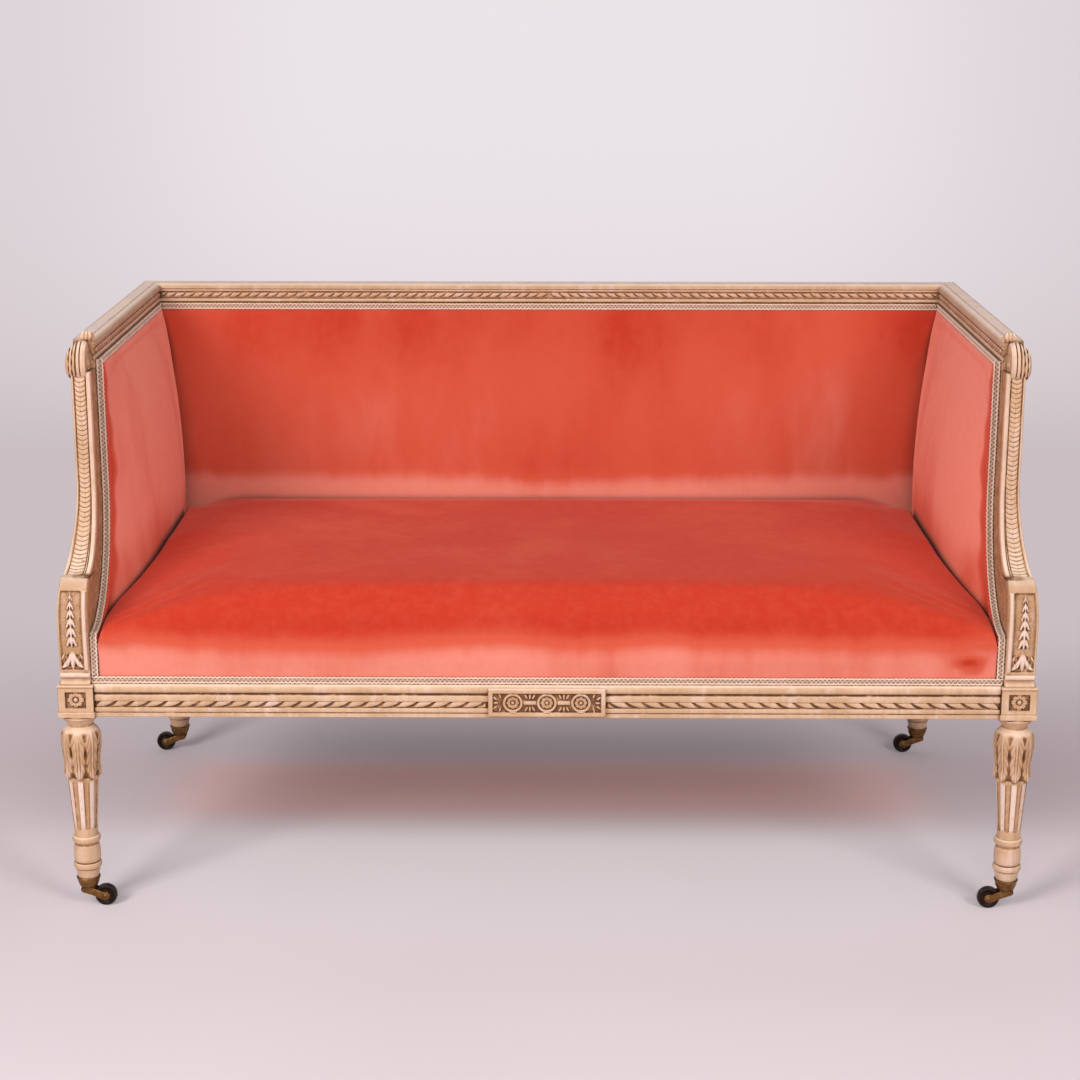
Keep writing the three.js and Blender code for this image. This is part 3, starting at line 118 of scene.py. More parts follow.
RAIL_HEIGHT = RAIL_TOP - RAIL_FOOT
DIE_FRONT_Y = FRONT_AXIS[1] - FRONT_DIE[1] / 2
FRONT_DIE_INNER = FRONT_AXIS[0] - FRONT_DIE[0] / 2
REAR_DIE_OUTER = REAR_AXIS[0] + REAR_DIE[0] / 2
REAR_DIE_INNER = REAR_AXIS[0] - REAR_DIE[0] / 2
REAR_DIE_BACK = REAR_AXIS[1] + REAR_DIE[1] / 2
FRONT_RAIL_FACE = DIE_FRONT_Y + RAIL_SETBACK
ARM_PLANE = ARM_OUTER - TOP_RAIL_THICKNESS + RABBET_DEPTH
BACK_PLANE = BACK_Y - TOP_RAIL_THICKNESS + RABBET_DEPTH
PAD_BASE_X = ARM_PLANE - HESSIAN_THICKNESS - 2 * FIT_GAP
PAD_BASE_Y = BACK_PLANE - HESSIAN_THICKNESS - 2 * FIT_GAP
STILE_FRONT = DIE_FRONT_Y + STILE_SETBACK
STILE_BACK = STILE_FRONT + STILE_DEPTH
CONSOLE_FRONT = DIE_FRONT_Y + CONSOLE_SETBACK
CONSOLE_BACK = CONSOLE_FRONT + CONSOLE_DEPTH
SEAT_FOOT_Y = FRONT_RAIL_FACE + SEAT_SETBACK - GIMP_THICKNESS
GIMP_FOOT_Y = SEAT_FOOT_Y - FIT_GAP - GIMP_THICKNESS / 2
GIMP_STILE_Y = STILE_BACK - TACK_MARGIN
GIMP_OUTER_X = ARM_PLANE - FIT_GAP
GIMP_INNER_X = GIMP_OUTER_X - GIMP_WIDTH
PAD_MARGIN = GIMP_THICKNESS / 2 + FIT_GAP
GIMP_TOP_Z = TOP_RAIL_FOOT + RABBET_HEIGHT / 2
SCROLL_Y = STILE_FRONT - SCROLL_FORWARD + SCROLL_RADIUS
SCROLL_Z = TOP_RAIL_TOP - SCROLL_RADIUS
SCROLL_OUTER = ARM_OUTER + SCROLL_OVERHANG
SCROLL_INNER = SCROLL_OUTER - SCROLL_WIDTH
PAD_FOOT = RAIL_TOP + FIT_GAP
PAD_TOP = GIMP_TOP_Z - GIMP_WIDTH / 2 - FIT_GAP

SIDES = (("right", 1), ("left", -1))


# Colours and shader helpers

def linear(value):
    share = value / 255
    return share / 12.92 if share <= 0.04045 else ((share + 0.055) / 1.055) ** 2.4


def srgb(red, green, blue):
    return (linear(red), linear(green), linear(blue), 1.0)


def wire(tree, value, socket):
    if isinstance(value, bpy.types.NodeSocket):
        tree.links.new(value, socket)
    else:
        socket.default_value = value


def fill_in(tree, made, inputs):
    for key, value in inputs.items():
        wire(tree, value, made.inputs[key])


def shader_node(tree, kind, inputs=None, **settings):
    made = tree.nodes.new(kind)
    for key, value in settings.items():
        setattr(made, key, value)
    fill_in(tree, made, inputs or {})
    return made


def mix(tree, factor, first, second):
    made = tree.nodes.new("ShaderNodeMix")
    made.data_type = "RGBA"
    wire(tree, factor, made.inputs[0])
    wire(tree, first, made.inputs[6])
    wire(tree, second, made.inputs[7])
    return made.outputs[2]


def math_node(tree, operation, first, second, clamp=False):
    made = tree.nodes.new("ShaderNodeMath")
    made.operation = operation
    made.use_clamp = clamp
    wire(tree, first, made.inputs[0])
    wire(tree, second, made.inputs[1])
    return made.outputs[0]


def times(tree, first, second):
    return math_node(tree, "MULTIPLY", first, second)


def plus(tree, first, second):
    return math_node(tree, "ADD", first, second)


def span(tree, value, low, high, to_low=0.0, to_high=1.0):
    made = tree.nodes.new("ShaderNodeMapRange")
    made.interpolation_type = "SMOOTHSTEP"
    for place, number in enumerate((value, low, high, to_low, to_high)):
        wire(tree, number, made.inputs[place])
    return made.outputs[0]


def noise(tree, scale, detail=3.0, roughness=0.55, stretch=(1, 1, 1)):
    place = shader_node(tree, "ShaderNodeTexCoord")
    scaled = shader_node(tree, "ShaderNodeMapping", {"Vector": place.outputs["Object"], "Scale": stretch})
    made = shader_node(tree, "ShaderNodeTexNoise", {
        "Vector": scaled.outputs[0], "Scale": scale, "Detail": detail, "Roughness": roughness})
    return made.outputs[0]


def coordinates(tree, kind):
    """The three numbers of a place on a piece, or of the way that its skin faces there."""
    vector = shader_node(tree, "ShaderNodeTexCoord").outputs[kind]
    return shader_node(tree, "ShaderNodeSeparateXYZ", {"Vector": vector}).outputs


def stored_glaze_and_painted_light(tree):
    return shader_node(tree, "ShaderNodeAttribute", attribute_name="glaze_and_painted_light").outputs["Fac"]


def openness(tree, distance, samples):
    """1 in the open, less in a corner or a crevice."""
    inputs = {"Distance": distance}
    return shader_node(tree, "ShaderNodeAmbientOcclusion", inputs, samples=samples).outputs["AO"]


def new_material(name):
    material = bpy.data.materials.new(name)
    material.use_nodes = True
    tree = material.node_tree
    return material, tree, tree.nodes["Principled BSDF"]


def bump(tree, surface, height, strength, distance):
    inputs = {"Height": height, "Strength": strength, "Distance": distance}
    wire(tree, shader_node(tree, "ShaderNodeBump", inputs).outputs[0], surface.inputs["Normal"])


# Materials

PAINT_DEEP, PAINT_FAIR = srgb(192, 154, 120), srgb(206, 170, 140)
PAINT_WORN, PAINT_STREAK = srgb(216, 186, 170), srgb(176, 130, 86)
PAINT_RUBBED, PAINT_MAUVE = srgb(222, 196, 184), srgb(222, 198, 194)
PAINT_TOP_LIGHT = srgb(248, 222, 200)
OCHRE_GLAZE_AND_SHADE, DARK_GLAZE_AND_SHADE = srgb(160, 112, 68), srgb(84, 48, 28)
PAINT_CHIP = srgb(136, 90, 60)


def painted_wood():
    """Cream paint, rubbed pinkish white on high places, with ochre glaze left in the carving; up-facing
    surfaces are lightened with painted light and crevices deepened with painted shade.
    """
    material, tree, surface = new_material("antique_cream_paint")
    glaze_and_painted_light = stored_glaze_and_painted_light(tree)
    # Crevices, found by occlusion, take the glaze colours: partly glaze that collects there, partly painted
    # shade.
    crevice_glaze_and_shade = span(tree, openness(tree, 0.010, 6), 0.92, 0.42)
    tone = span(tree, noise(tree, 16, 4), 0.38, 0.64)
    fine = noise(tree, 90, 5, 0.65)
    worn = span(tree, noise(tree, 38, 5, 0.6, (1, 1, 0.45)), 0.52, 0.66)
    streak = span(tree, noise(tree, 150, 3, 0.6, (1, 1, 0.12)), 0.42, 0.7)
    base = mix(tree, tone, PAINT_DEEP, PAINT_FAIR)
    base = mix(tree, times(tree, worn, 0.60), base, PAINT_WORN)
    base = mix(tree, times(tree, streak, 0.30), base, PAINT_STREAK)
    rub = times(tree, span(tree, glaze_and_painted_light, -0.03, -0.90), span(tree, fine, 0.30, 0.52, 0.30, 1.0))
    base = mix(tree, rub, base, PAINT_RUBBED)
    upward = coordinates(tree, "Normal")[2]
    flat = times(tree, span(tree, upward, 0.90, 0.99), span(tree, noise(tree, 22, 5, 0.7), 0.44, 0.60))
    # Up-facing surfaces are lightened towards pale cream: painted light from above.
    base = mix(tree, span(tree, upward, 0.40, 0.95, 0.0, 0.75), base, PAINT_TOP_LIGHT)
    base = mix(tree, times(tree, flat, 0.70), base, PAINT_MAUVE)
    low = math_node(tree, "MAXIMUM", glaze_and_painted_light, 0.0)
    depth = plus(tree, times(tree, low, 0.95), times(tree, crevice_glaze_and_shade, 0.80))
    rough_depth = times(tree, depth, span(tree, fine, 0.25, 0.6, 0.50, 1.20))
    ochre = math_node(tree, "MULTIPLY", rough_depth, 0.95, clamp=True)
    dark = span(tree, rough_depth, 0.60, 1.30)
    base = mix(tree, ochre, base, OCHRE_GLAZE_AND_SHADE)
    base = mix(tree, times(tree, dark, 0.88), base, DARK_GLAZE_AND_SHADE)
    chip = times(tree, span(tree, noise(tree, 62, 6, 0.7), 0.66, 0.71), 0.62)
    base = mix(tree, chip, base, PAINT_CHIP)
    fill_in(tree, surface, {
        "Base Color": base, "Roughness": span(tree, rough_depth, 0.0, 1.0, 0.46, 0.72),
        "Specular IOR Level": 0.35})
    grain = plus(tree, times(tree, streak, 0.35), times(tree, fine, 0.9))
    bump(tree, surface, math_node(tree, "SUBTRACT", grain, times(tree, chip, 0.8)), 0.40, 0.0007)
    return material


PALE_SHEEN_NAP, MIDDLE_LIT_NAP, DEEP_SHADED_NAP = srgb(246, 150, 130), srgb(221, 93, 68), srgb(199, 56, 34)
NAP_SMALL, NAP_ROOT, CREASE_SHADE = srgb(226, 110, 86), srgb(170, 50, 34), srgb(84, 18, 12)
NAP_SHEEN = srgb(255, 196, 180)
FACE_ON_SHADE = (0.0, 0.0, 0.0, 1.0)


def velvet():
    """Cut velvet: pale pink with painted sheen and deep coral with painted shade, from the painted light
    stored on each piece and the nap's own patches; skins that face the front and creases get more painted
    shade.
    """
    material, tree, surface = new_material("coral_velvet")
    # Creases and folds, found by occlusion, are darkened to a deep red-brown: painted shade.
    crease_shade = span(tree, openness(tree, 0.022, 10), 0.66, 0.20)
    broad = span(tree, noise(tree, 3.4, 3, 0.5, (1, 1, 0.45)), 0.34, 0.68, -0.11, 0.11)
    brushed = span(tree, noise(tree, 9.0, 4, 0.6, (1.0, 1.0, 0.35)), 0.36, 0.70, -0.08, 0.10)
    small = noise(tree, 60, 4, 0.7)
    pile = noise(tree, 1500, 2, 0.6)
    # The stored value is painted light on each piece (painted sheen pale, painted shade deep); broad and
    # brushed are the nap's own patches.
    nap_and_painted_light = plus(tree, plus(tree, stored_glaze_and_painted_light(tree), broad), brushed)
    colour = mix(tree, span(tree, nap_and_painted_light, 0.0, 0.5), PALE_SHEEN_NAP, MIDDLE_LIT_NAP)
    colour = mix(tree, span(tree, nap_and_painted_light, 0.45, 1.0), colour, DEEP_SHADED_NAP)
    colour = mix(tree, span(tree, small, 0.35, 0.75, 0.0, 0.14), colour, NAP_SMALL)
    colour = mix(tree, span(tree, pile, 0.3, 0.7, 0.0, 0.18), colour, NAP_ROOT)
    # Skins that face the front are darkened: painted shade for velvet seen face-on, where it shows no sheen.
    facing = coordinates(tree, "Normal")[1]
    colour = mix(tree, span(tree, facing, -0.35, -0.97, 0.0, 0.20), colour, FACE_ON_SHADE)
    colour = mix(tree, times(tree, crease_shade, 0.85), colour, CREASE_SHADE)
    fill_in(tree, surface, {
        "Base Color": colour, "Roughness": 0.9, "Specular IOR Level": 0.10,
        "Sheen Weight": 0.18, "Sheen Roughness": 0.45, "Sheen Tint": NAP_SHEEN})
    bump(tree, surface, plus(tree, times(tree, small, 0.6), times(tree, pile, 0.25)), 0.30, 0.0010)
    return material


def woven(name, light, dark, scale, sheen):
    """Plain yarn: two sets of threads across each other."""
    material, tree, surface = new_material(name)
    place = shader_node(tree, "ShaderNodeTexCoord").outputs["Object"]
    inputs = {"Vector": place, "Scale": scale, "Distortion": 0.6, "Detail": 1.0}
    waves = [shader_node(tree, "ShaderNodeTexWave", inputs, bands_direction=axis).outputs["Fac"]
             for axis in ("X", "Z")]
    weave = times(tree, *waves)
    colour = mix(tree, weave, dark, light)
    colour = mix(tree, span(tree, noise(tree, 45, 4), 0.4, 0.75, 0.0, 0.35), colour, dark)
    fill_in(tree, surface, {
        "Base Color": colour, "Roughness": 0.88, "Specular IOR Level": 0.2, "Sheen Weight": sheen})
    bump(tree, surface, weave, 0.5, 0.0004)
    return material


def gimp_yarn():
    """Ecru rayon cord with a fine twist, darkened brown down between the loops and where the loops dip:
    painted shade.
    """
    material, tree, surface = new_material("ecru_gimp")
    twist = noise(tree, 700, 2, 0.6)
    colour = mix(tree, span(tree, twist, 0.35, 0.7), srgb(206, 174, 148), srgb(240, 218, 200))
    colour = mix(tree, span(tree, noise(tree, 30, 3), 0.45, 0.7, 0.0, 0.4), colour, srgb(208, 172, 150))
    colour = mix(tree, times(tree, stored_glaze_and_painted_light(tree), 0.95), colour, srgb(120, 74, 56))
    fill_in(tree, surface, {"Base Color": colour, "Roughness": 0.62, "Sheen Weight": 0.25})
    bump(tree, surface, twist, 0.4, 0.0003)
    return material


def aged_metal(name, bright, dull, dirt, roughness, metallic):
    """Cast metal, darker where hands and polish never reach."""
    material, tree, surface = new_material(name)
    patch = span(tree, noise(tree, 120, 5, 0.65), 0.35, 0.68)
    spots = span(tree, noise(tree, 420, 4, 0.7), 0.55, 0.7)
    colour = mix(tree, patch, dull, bright)
    colour = mix(tree, times(tree, spots, 0.5), colour, dirt)
    colour = mix(tree, span(tree, openness(tree, 0.004, 6), 0.9, 0.4), colour, dirt)
    fill_in(tree, surface, {
        "Base Color": colour, "Roughness": span(tree, patch, 0.0, 1.0, roughness + 0.18, roughness),
        "Metallic": metallic})
    bump(tree, surface, spots, 0.25, 0.0003)
    return material


def worn_wheel():
    """Dark composition wheel, scuffed lighter on its tread."""
    material, tree, surface = new_material("dark_castor_wheel")
    scuff = span(tree, noise(tree, 260, 5, 0.7), 0.5, 0.72)
    colour = mix(tree, noise(tree, 60, 3), srgb(20, 11, 8), srgb(40, 23, 16))
    colour = mix(tree, times(tree, scuff, 0.35), colour, srgb(74, 46, 34))
    fill_in(tree, surface, {
        "Base Color": colour, "Roughness": span(tree, scuff, 0.0, 1.0, 0.40, 0.66),
        "Specular IOR Level": 0.22})
    bump(tree, surface, scuff, 0.2, 0.0003)
    return material


def bare_beech():
    """Unpainted frame wood with a straight grain."""
    material, tree, surface = new_material("bare_beech")
    grain = span(tree, noise(tree, 60, 5, 0.6, (1, 0.15, 1)), 0.35, 0.7)
    fleck = span(tree, noise(tree, 500, 3, 0.6, (1, 0.2, 1)), 0.5, 0.7)
    colour = mix(tree, grain, srgb(172, 130, 86), srgb(198, 160, 112))
    colour = mix(tree, times(tree, fleck, 0.4), colour, srgb(132, 92, 58))
    fill_in(tree, surface, {"Base Color": colour, "Roughness": 0.7})
    bump(tree, surface, fleck, 0.2, 0.0003)
    return material


# How much light the paper gives of itself, under the settee and in front of it
SHADOW_LIFT = 0.124
FRONT_LIFT = 0.155


def stage_surface():
    """Pale seamless paper: lit and shaded by the lamps near the object, with a painted glow and a painted
    pink light under the settee and a painted glow in front of it, and glowing a light tone far behind it,
    with painted shade low down and towards the sides.
    """
    material, tree, surface = new_material("pale_paper")
    across, along, _ = coordinates(tree, "Object")
    aside = math_node(tree, "ABSOLUTE", across, 0.0)
    tint = span(tree, noise(tree, 0.8, 2), 0.3, 0.7)
    paper = mix(tree, tint, srgb(219, 207, 211), srgb(224, 213, 217))
    bump(tree, surface, noise(tree, 240, 3), 0.05, 0.0005)

    rays = shader_node(tree, "ShaderNodeLightPath").outputs
    seen = math_node(tree, "MAXIMUM", rays["Is Camera Ray"], rays["Is Glossy Ray"])
    seen = math_node(tree, "MAXIMUM", seen, rays["Is Transmission Ray"])
    # Under the settee the paper glows pink: painted light thrown down from the velvet, lifting the shadow.
    # In front of it the paper glows too: painted light that lifts the shadow there.
    under = times(tree, span(tree, along, -0.14, 0.08), span(tree, along, 0.42, 0.20))
    under = times(tree, under, span(tree, aside, 0.82, 0.52))
    under = times(tree, under, under)
    before = times(tree, span(tree, along, 0.07, -0.10), span(tree, along, -0.62, -0.14))
    before = times(tree, before, span(tree, aside, 0.98, 0.40))
    total = plus(tree, times(tree, under, SHADOW_LIFT), times(tree, before, FRONT_LIFT))
    # The pink tint of the paper under the settee is painted light.
    fill_in(tree, surface, {
        "Base Color": mix(tree, times(tree, under, 0.6), paper, srgb(210, 178, 174)),
        "Roughness": 0.9, "Specular IOR Level": 0.1,
        "Emission Color": mix(tree, under, srgb(255, 244, 248), srgb(255, 165, 148)),
        "Emission Strength": times(tree, total, seen)})

    # Far behind, the paper glows, darker low down and towards the sides: painted shade.
    low = mix(tree, span(tree, aside, 0.3, 1.15), srgb(210, 198, 202), srgb(202, 190, 194))
    high = mix(tree, span(tree, aside, 0.7, 2.0), srgb(235, 228, 232), srgb(221, 212, 217))
    wall = mix(tree, span(tree, along, 2.5, 4.75), low, high)
    glow = shader_node(tree, "ShaderNodeEmission", {"Color": wall, "Strength": 1.0})
    far = times(tree, span(tree, along, 0.10, 1.15), seen)
    blend = shader_node(tree, "ShaderNodeMixShader", {0: far, 1: surface.outputs[0], 2: glow.outputs[0]})
    wire(tree, blend.outputs[0], tree.nodes["Material Output"].inputs["Surface"])
    return material


PAINT = painted_wood()
VELVET = velvet()
GIMP = gimp_yarn()
BRASS = aged_metal("aged_brass", srgb(150, 108, 62), srgb(112, 76, 42), srgb(44, 28, 18), 0.36, 0.85)
STEEL = aged_metal("spring_wire", srgb(150, 148, 144), srgb(112, 108, 104), srgb(60, 54, 50), 0.35, 0.9)
WHEEL = worn_wheel()
BEECH = bare_beech()
JUTE = woven("jute_cloth", srgb(178, 146, 98), srgb(124, 96, 60), 260, 0.1)
CAMBRIC = woven("black_cambric", srgb(52, 48, 45), srgb(26, 24, 23), 420, 0.15)
PAPER = stage_surface()


# Mesh helpers

SKIRT_GLAZE = 0.3


def smooth(value, low, high):
    share = np.clip((value - low) / (high - low), 0, 1)
    return share * share * (3 - 2 * share)


def bell(value, peak, width):
    """1 at the peak, falling away to nothing within about two widths."""
    return np.exp(-((value - peak) / width) ** 2)


def dome(value, centre, half):
    """Height of a half round over its centre, 1 at most."""
    return np.sqrt(np.clip(1 - ((value - centre) / half) ** 2, 0, 1))


def turns(count):
    return np.linspace(0, 2 * math.pi, count, endpoint=False)


def directions(line):
    """The way that a line runs at each of its points."""
    tangent = np.gradient(line, axis=0)
    return tangent / np.linalg.norm(tangent, axis=1)[:, None]


def left_of(tangent):
    """The way to the left of each of these, in their plane."""
    return np.stack([-tangent[:, 1], tangent[:, 0]], axis=1)


def grid_faces(rows, columns, closed=False):
    """Quads of a grid of points, row after row; closed joins the last column to the first."""
    width = columns if closed else columns - 1
    j, i = np.meshgrid(np.arange(rows - 1), np.arange(width), indexing="ij")
    near = (j * columns + i).ravel()
    far = (j * columns + (i + 1) % columns).ravel()
    return np.stack([near, far, far + columns, near + columns], axis=1)


def edge_places(rows, columns):
    """(row, column) of each point round the edge of a grid, in turn."""
    there = [(0, i) for i in range(columns - 1)] + [(j, columns - 1) for j in range(rows - 1)]
    back = [(rows - 1, i) for i in range(columns - 1, 0, -1)] + [(j, 0) for j in range(rows - 1, 0, -1)]
    return there + back


def skirted(front, back):
    """Points and faces of a grid with a wall from its edge to the back points, and a fan over those."""
    rows, columns, _ = front.shape
    border = edge_places(rows, columns)
    first = rows * columns
    heart = first + len(border)
    faces = grid_faces(rows, columns).tolist()
    for k, (j, i) in enumerate(border):
        following = (k + 1) % len(border)
        nj, ni = border[following]
        faces.append([nj * columns + ni, j * columns + i, first + k, first + following])
        faces.append([first + following, first + k, heart])
    return np.concatenate([front.reshape(-1, 3), back, back.mean(0)[None]]), faces


class Shape:
    """Gathers closed skins into one mesh, with a value at each point that its material reads: how deep it
    lies in the glaze on paint, with painted shade in a few places; painted light and nap tone on velvet;
    painted shade on braid.
    """

    def __init__(self):
        self.points = []
        self.faces = []
        self.glaze_and_painted_light = []
        self.count = 0

    def add(self, points, faces, glaze_and_painted_light):
        self.points.append(points)
        self.glaze_and_painted_light.append(glaze_and_painted_light)
        self.faces.extend([[corner + self.count for corner in face] for face in faces])
        self.count += len(points)

    def loft(self, rings, glaze_and_painted_light=0.0):
        """A skin over rings of as many points each, closed at both ends by a fan."""
        rings = np.asarray(rings, float)
        levels, around, _ = rings.shape
        values = np.broadcast_to(np.asarray(glaze_and_painted_light, float), (levels, around))
        points = np.concatenate([rings.reshape(-1, 3), rings[0].mean(0)[None], rings[-1].mean(0)[None]])
        faces = grid_faces(levels, around, closed=True).tolist()
        low, high, last = levels * around, levels * around + 1, (levels - 1) * around
        for i in range(around):
            after = (i + 1) % around
            faces.append([low, after, i])
            faces.append([high, last + i, last + after])
        self.add(points, faces, np.concatenate([values.ravel(), [values[0].mean()], [values[-1].mean()]]))

    def slab(self, front, depth, glaze_and_painted_light):
        """A relief: a grid of points for its face, and a skirt that goes back along depth."""
        edge = np.array([front[place] for place in edge_places(*front.shape[:2])])
        points, faces = skirted(front, edge + np.asarray(depth, float))
        self.add(points, faces, np.concatenate([glaze_and_painted_light.ravel(), np.full(len(edge) + 1, SKIRT_GLAZE)]))

    def mirrored(self, sign):
        if sign > 0:
            return self
        other = Shape()
        other.points = [points * (-1, 1, 1) for points in self.points]
        other.faces = [face[::-1] for face in self.faces]
        other.glaze_and_painted_light = list(self.glaze_and_painted_light)
        other.count = self.count
        return other

    def build(self, name, material, slot, body="root", stands_for=(), sharp=40):
        mesh = bpy.data.meshes.new(name)
        mesh.from_pydata(np.concatenate(self.points), [], self.faces)
        mesh.validate()
        whole = bmesh.new()
        whole.from_mesh(mesh)
        bmesh.ops.recalc_face_normals(whole, faces=whole.faces)
        whole.to_mesh(mesh)
        whole.free()
        attribute = mesh.attributes.new("glaze_and_painted_light", "FLOAT", "POINT")
        attribute.data.foreach_set("value", np.concatenate(self.glaze_and_painted_light).astype(np.float32))
        mesh.materials.append(material)
        mesh.shade_smooth()
        mesh.set_sharp_from_angle(angle=math.radians(sharp))
        piece = bpy.data.objects.new(name, mesh)
        bpy.context.scene.collection.objects.link(piece)
        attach(piece, body)
        if stands_for:
            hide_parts(*stands_for)
        return piece


def bead(low, high, root, rise, steps=8):
    """Half of a round bead as (height, reach) points from low to high, rise proud of root."""
    turn = np.linspace(-math.pi / 2, math.pi / 2, steps + 1)
    return [((low + high) / 2 + (high - low) / 2 * math.sin(a), root + rise * math.cos(a)) for a in turn]


def curve_through(points, steps):
    """A smooth line through (height, reach) points."""
    points = np.asarray(points, float)
    padded = np.vstack([2 * points[0] - points[1], points, 2 * points[-1] - points[-2]])
    out = []
    for k in range(1, len(padded) - 2):
        a, b, c, d = padded[k - 1:k + 3]
        for t in np.linspace(0, 1, steps, endpoint=False):
            out.append(0.5 * (2 * b + (c - a) * t + (2 * a - 5 * b + 4 * c - d) * t * t
                              + (3 * b - 3 * c + d - a) * t ** 3))
    out.append(points[-1])
    return [tuple(p) for p in out]


def resampled(points, step):
    """Points at even steps along an open line, and how far along each lies."""
    points = np.asarray(points, float)
    lengths = np.linalg.norm(np.diff(points, axis=0), axis=1)
    along = np.concatenate([[0], np.cumsum(lengths)])
    count = max(2, int(round(along[-1] / step)) + 1)
    places = np.linspace(0, along[-1], count)
    return np.stack([np.interp(places, along, points[:, k]) for k in range(points.shape[1])], axis=1), places


# Carved patterns: each gives the rise of the relief over a flat ground, in metres

LINE_GLAZE = 0.95
RIBBON_LEAN = 0.90
ROSETTE_PETALS = 8


def lined(glaze, line):
    """Glaze with dark lines laid over it; line is 0 to 1."""
    line = np.clip(line, 0, 1)
    return glaze * (1 - line) + LINE_GLAZE * line


def ellipsoid(across, along, middle_across, middle_along, half_across, half_along, rise, tilt=0.0):
    """A raised drop, tilted in its plane."""
    a, b = across - middle_across, along - middle_along
    u = (a * math.cos(tilt) + b * math.sin(tilt)) / half_across
    v = (-a * math.sin(tilt) + b * math.cos(tilt)) / half_along
    return rise * np.sqrt(np.clip(1 - u * u - v * v, 0, None))


def ribbon(along, share, pitch, rise):
    """A ribbon wound round a rod, cut deep between its turns; share runs from its foot to its top."""
    rod = np.sqrt(np.clip(1 - (2 * share - 1) ** 2, 0, 1))
    sweep = RIBBON_LEAN * (0.80 * (1 - (1 - share) ** 1.7) + 0.20 * share ** 6)
    phase = np.mod(along / pitch - sweep, 1.0)
    gap = 0.15 + 0.36 * np.clip(1 - share, 0, 1) ** 1.5
    cut = smooth(phase, 0.0, 0.05) * (1 - smooth(phase, gap - 0.04, gap + 0.06))
    cut = cut * smooth(share, 0.02, 0.14) * (1 - smooth(share, 0.90, 0.99))
    roll = 1 - 0.30 * smooth(phase, 0.65, 1.0)
    height = rise * (0.30 + 0.70 * rod) * (0.06 + 0.94 * (1 - cut) * roll)
    crown = bell(phase - gap, 0.22, 0.14) * rod
    return height, np.clip(0.95 * cut, 0, 1) - 0.20 * crown * (1 - cut)


def scales(across, along, half, pitch, rise):
    """Scales that hang over each other: each is full at its curved lower lip and sinks towards the next."""
    bow = 0.62 * pitch * (1 - (across / half) ** 2)
    phase = np.mod((along + bow) / pitch, 1.0)
    hump = np.clip(1 - (across / (1.06 * half)) ** 4, 0, 1)
    lip = smooth(phase, 0.0, 0.12)
    under = smooth(phase, 0.72, 0.98)
    split_line = bell(across, 0, 0.07 * half)
    vein = np.cos(3.2 * math.pi * across / half + 1.4 * math.pi * phase) ** 2
    height = rise * hump * (0.30 + 0.70 * lip * (1 - under)) - 0.22 * rise * split_line * lip
    glaze = 0.75 * under * lip + 0.30 * (1 - lip) + 0.40 * (1 - hump) + 0.22 * split_line + 0.14 * vein
    white = 0.55 * bell(phase, 0.28, 0.16) * hump * (1 - split_line)
    return height, np.clip(glaze, 0, 1) - white


def husk(across, down, width, length, rise):
    """A bell flower that hangs down, three petals spread at their tips, and its two drilled eyes."""
    height = ellipsoid(across, down, 0, -0.06 * length, 0.21 * width, 0.46 * length, rise)
    for side in (-1, 1):
        petal = ellipsoid(across, down, side * 0.25 * width, 0.06 * length,
                          0.17 * width, 0.44 * length, 0.85 * rise, -side * 0.38)
        lip = ellipsoid(across, down, side * 0.40 * width, 0.34 * length,
                        0.11 * width, 0.16 * length, 0.80 * rise, -side * 0.9)
        height = np.maximum(height, np.maximum(petal, lip))
    tip = ellipsoid(across, down, 0, 0.34 * length, 0.12 * width, 0.22 * length, 0.9 * rise)
    height = np.maximum(height, tip)
    across, down = across / (0.07 * width), (down - 0.36 * length) / (0.09 * length)
    return height, sum(np.exp(-(across - side * 0.17 / 0.07) ** 2 - down ** 2) for side in (-1, 1))


def rosette(across, up, radius, rise):
    """A ring of full petals round a button, with a dark drilled gap between each two."""
    reach = np.hypot(across, up)
    turn = np.arctan2(up, across)
    sector = 2 * math.pi / ROSETTE_PETALS
    offset = (np.mod(turn / sector + 0.5, 1.0) - 0.5) * sector
    local_across, local_out = reach * np.sin(offset), reach * np.cos(offset)
    petal = ellipsoid(local_across, local_out, 0, 0.66 * radius, 0.33 * radius, 0.38 * radius, 0.90 * rise)
    dent = 0.30 * rise * bell(local_across, 0, 0.08 * radius) * (petal > 0)
    button = rise * dome(reach, 0, 0.30 * radius)
    return np.maximum(petal - dent, button)


# Legs

LEG_FLUTES = 8
FLUTE_DEPTH = 0.0023
FLUTE_HALF_WIDTH = 0.0036
FLUTE_FOOT = 0.1185
FLUTE_TOP = 0.2010
LEAF_COUNT = 8
LEAF_TOP = 0.2660
LEAF_TIP = 0.1965
LEAF_RISE = 0.0021
LEAF_CURL = 0.0026
EYELET_DEPTH = 0.0030
LEG_SIDES = 192
LEG_STEP = 0.0009


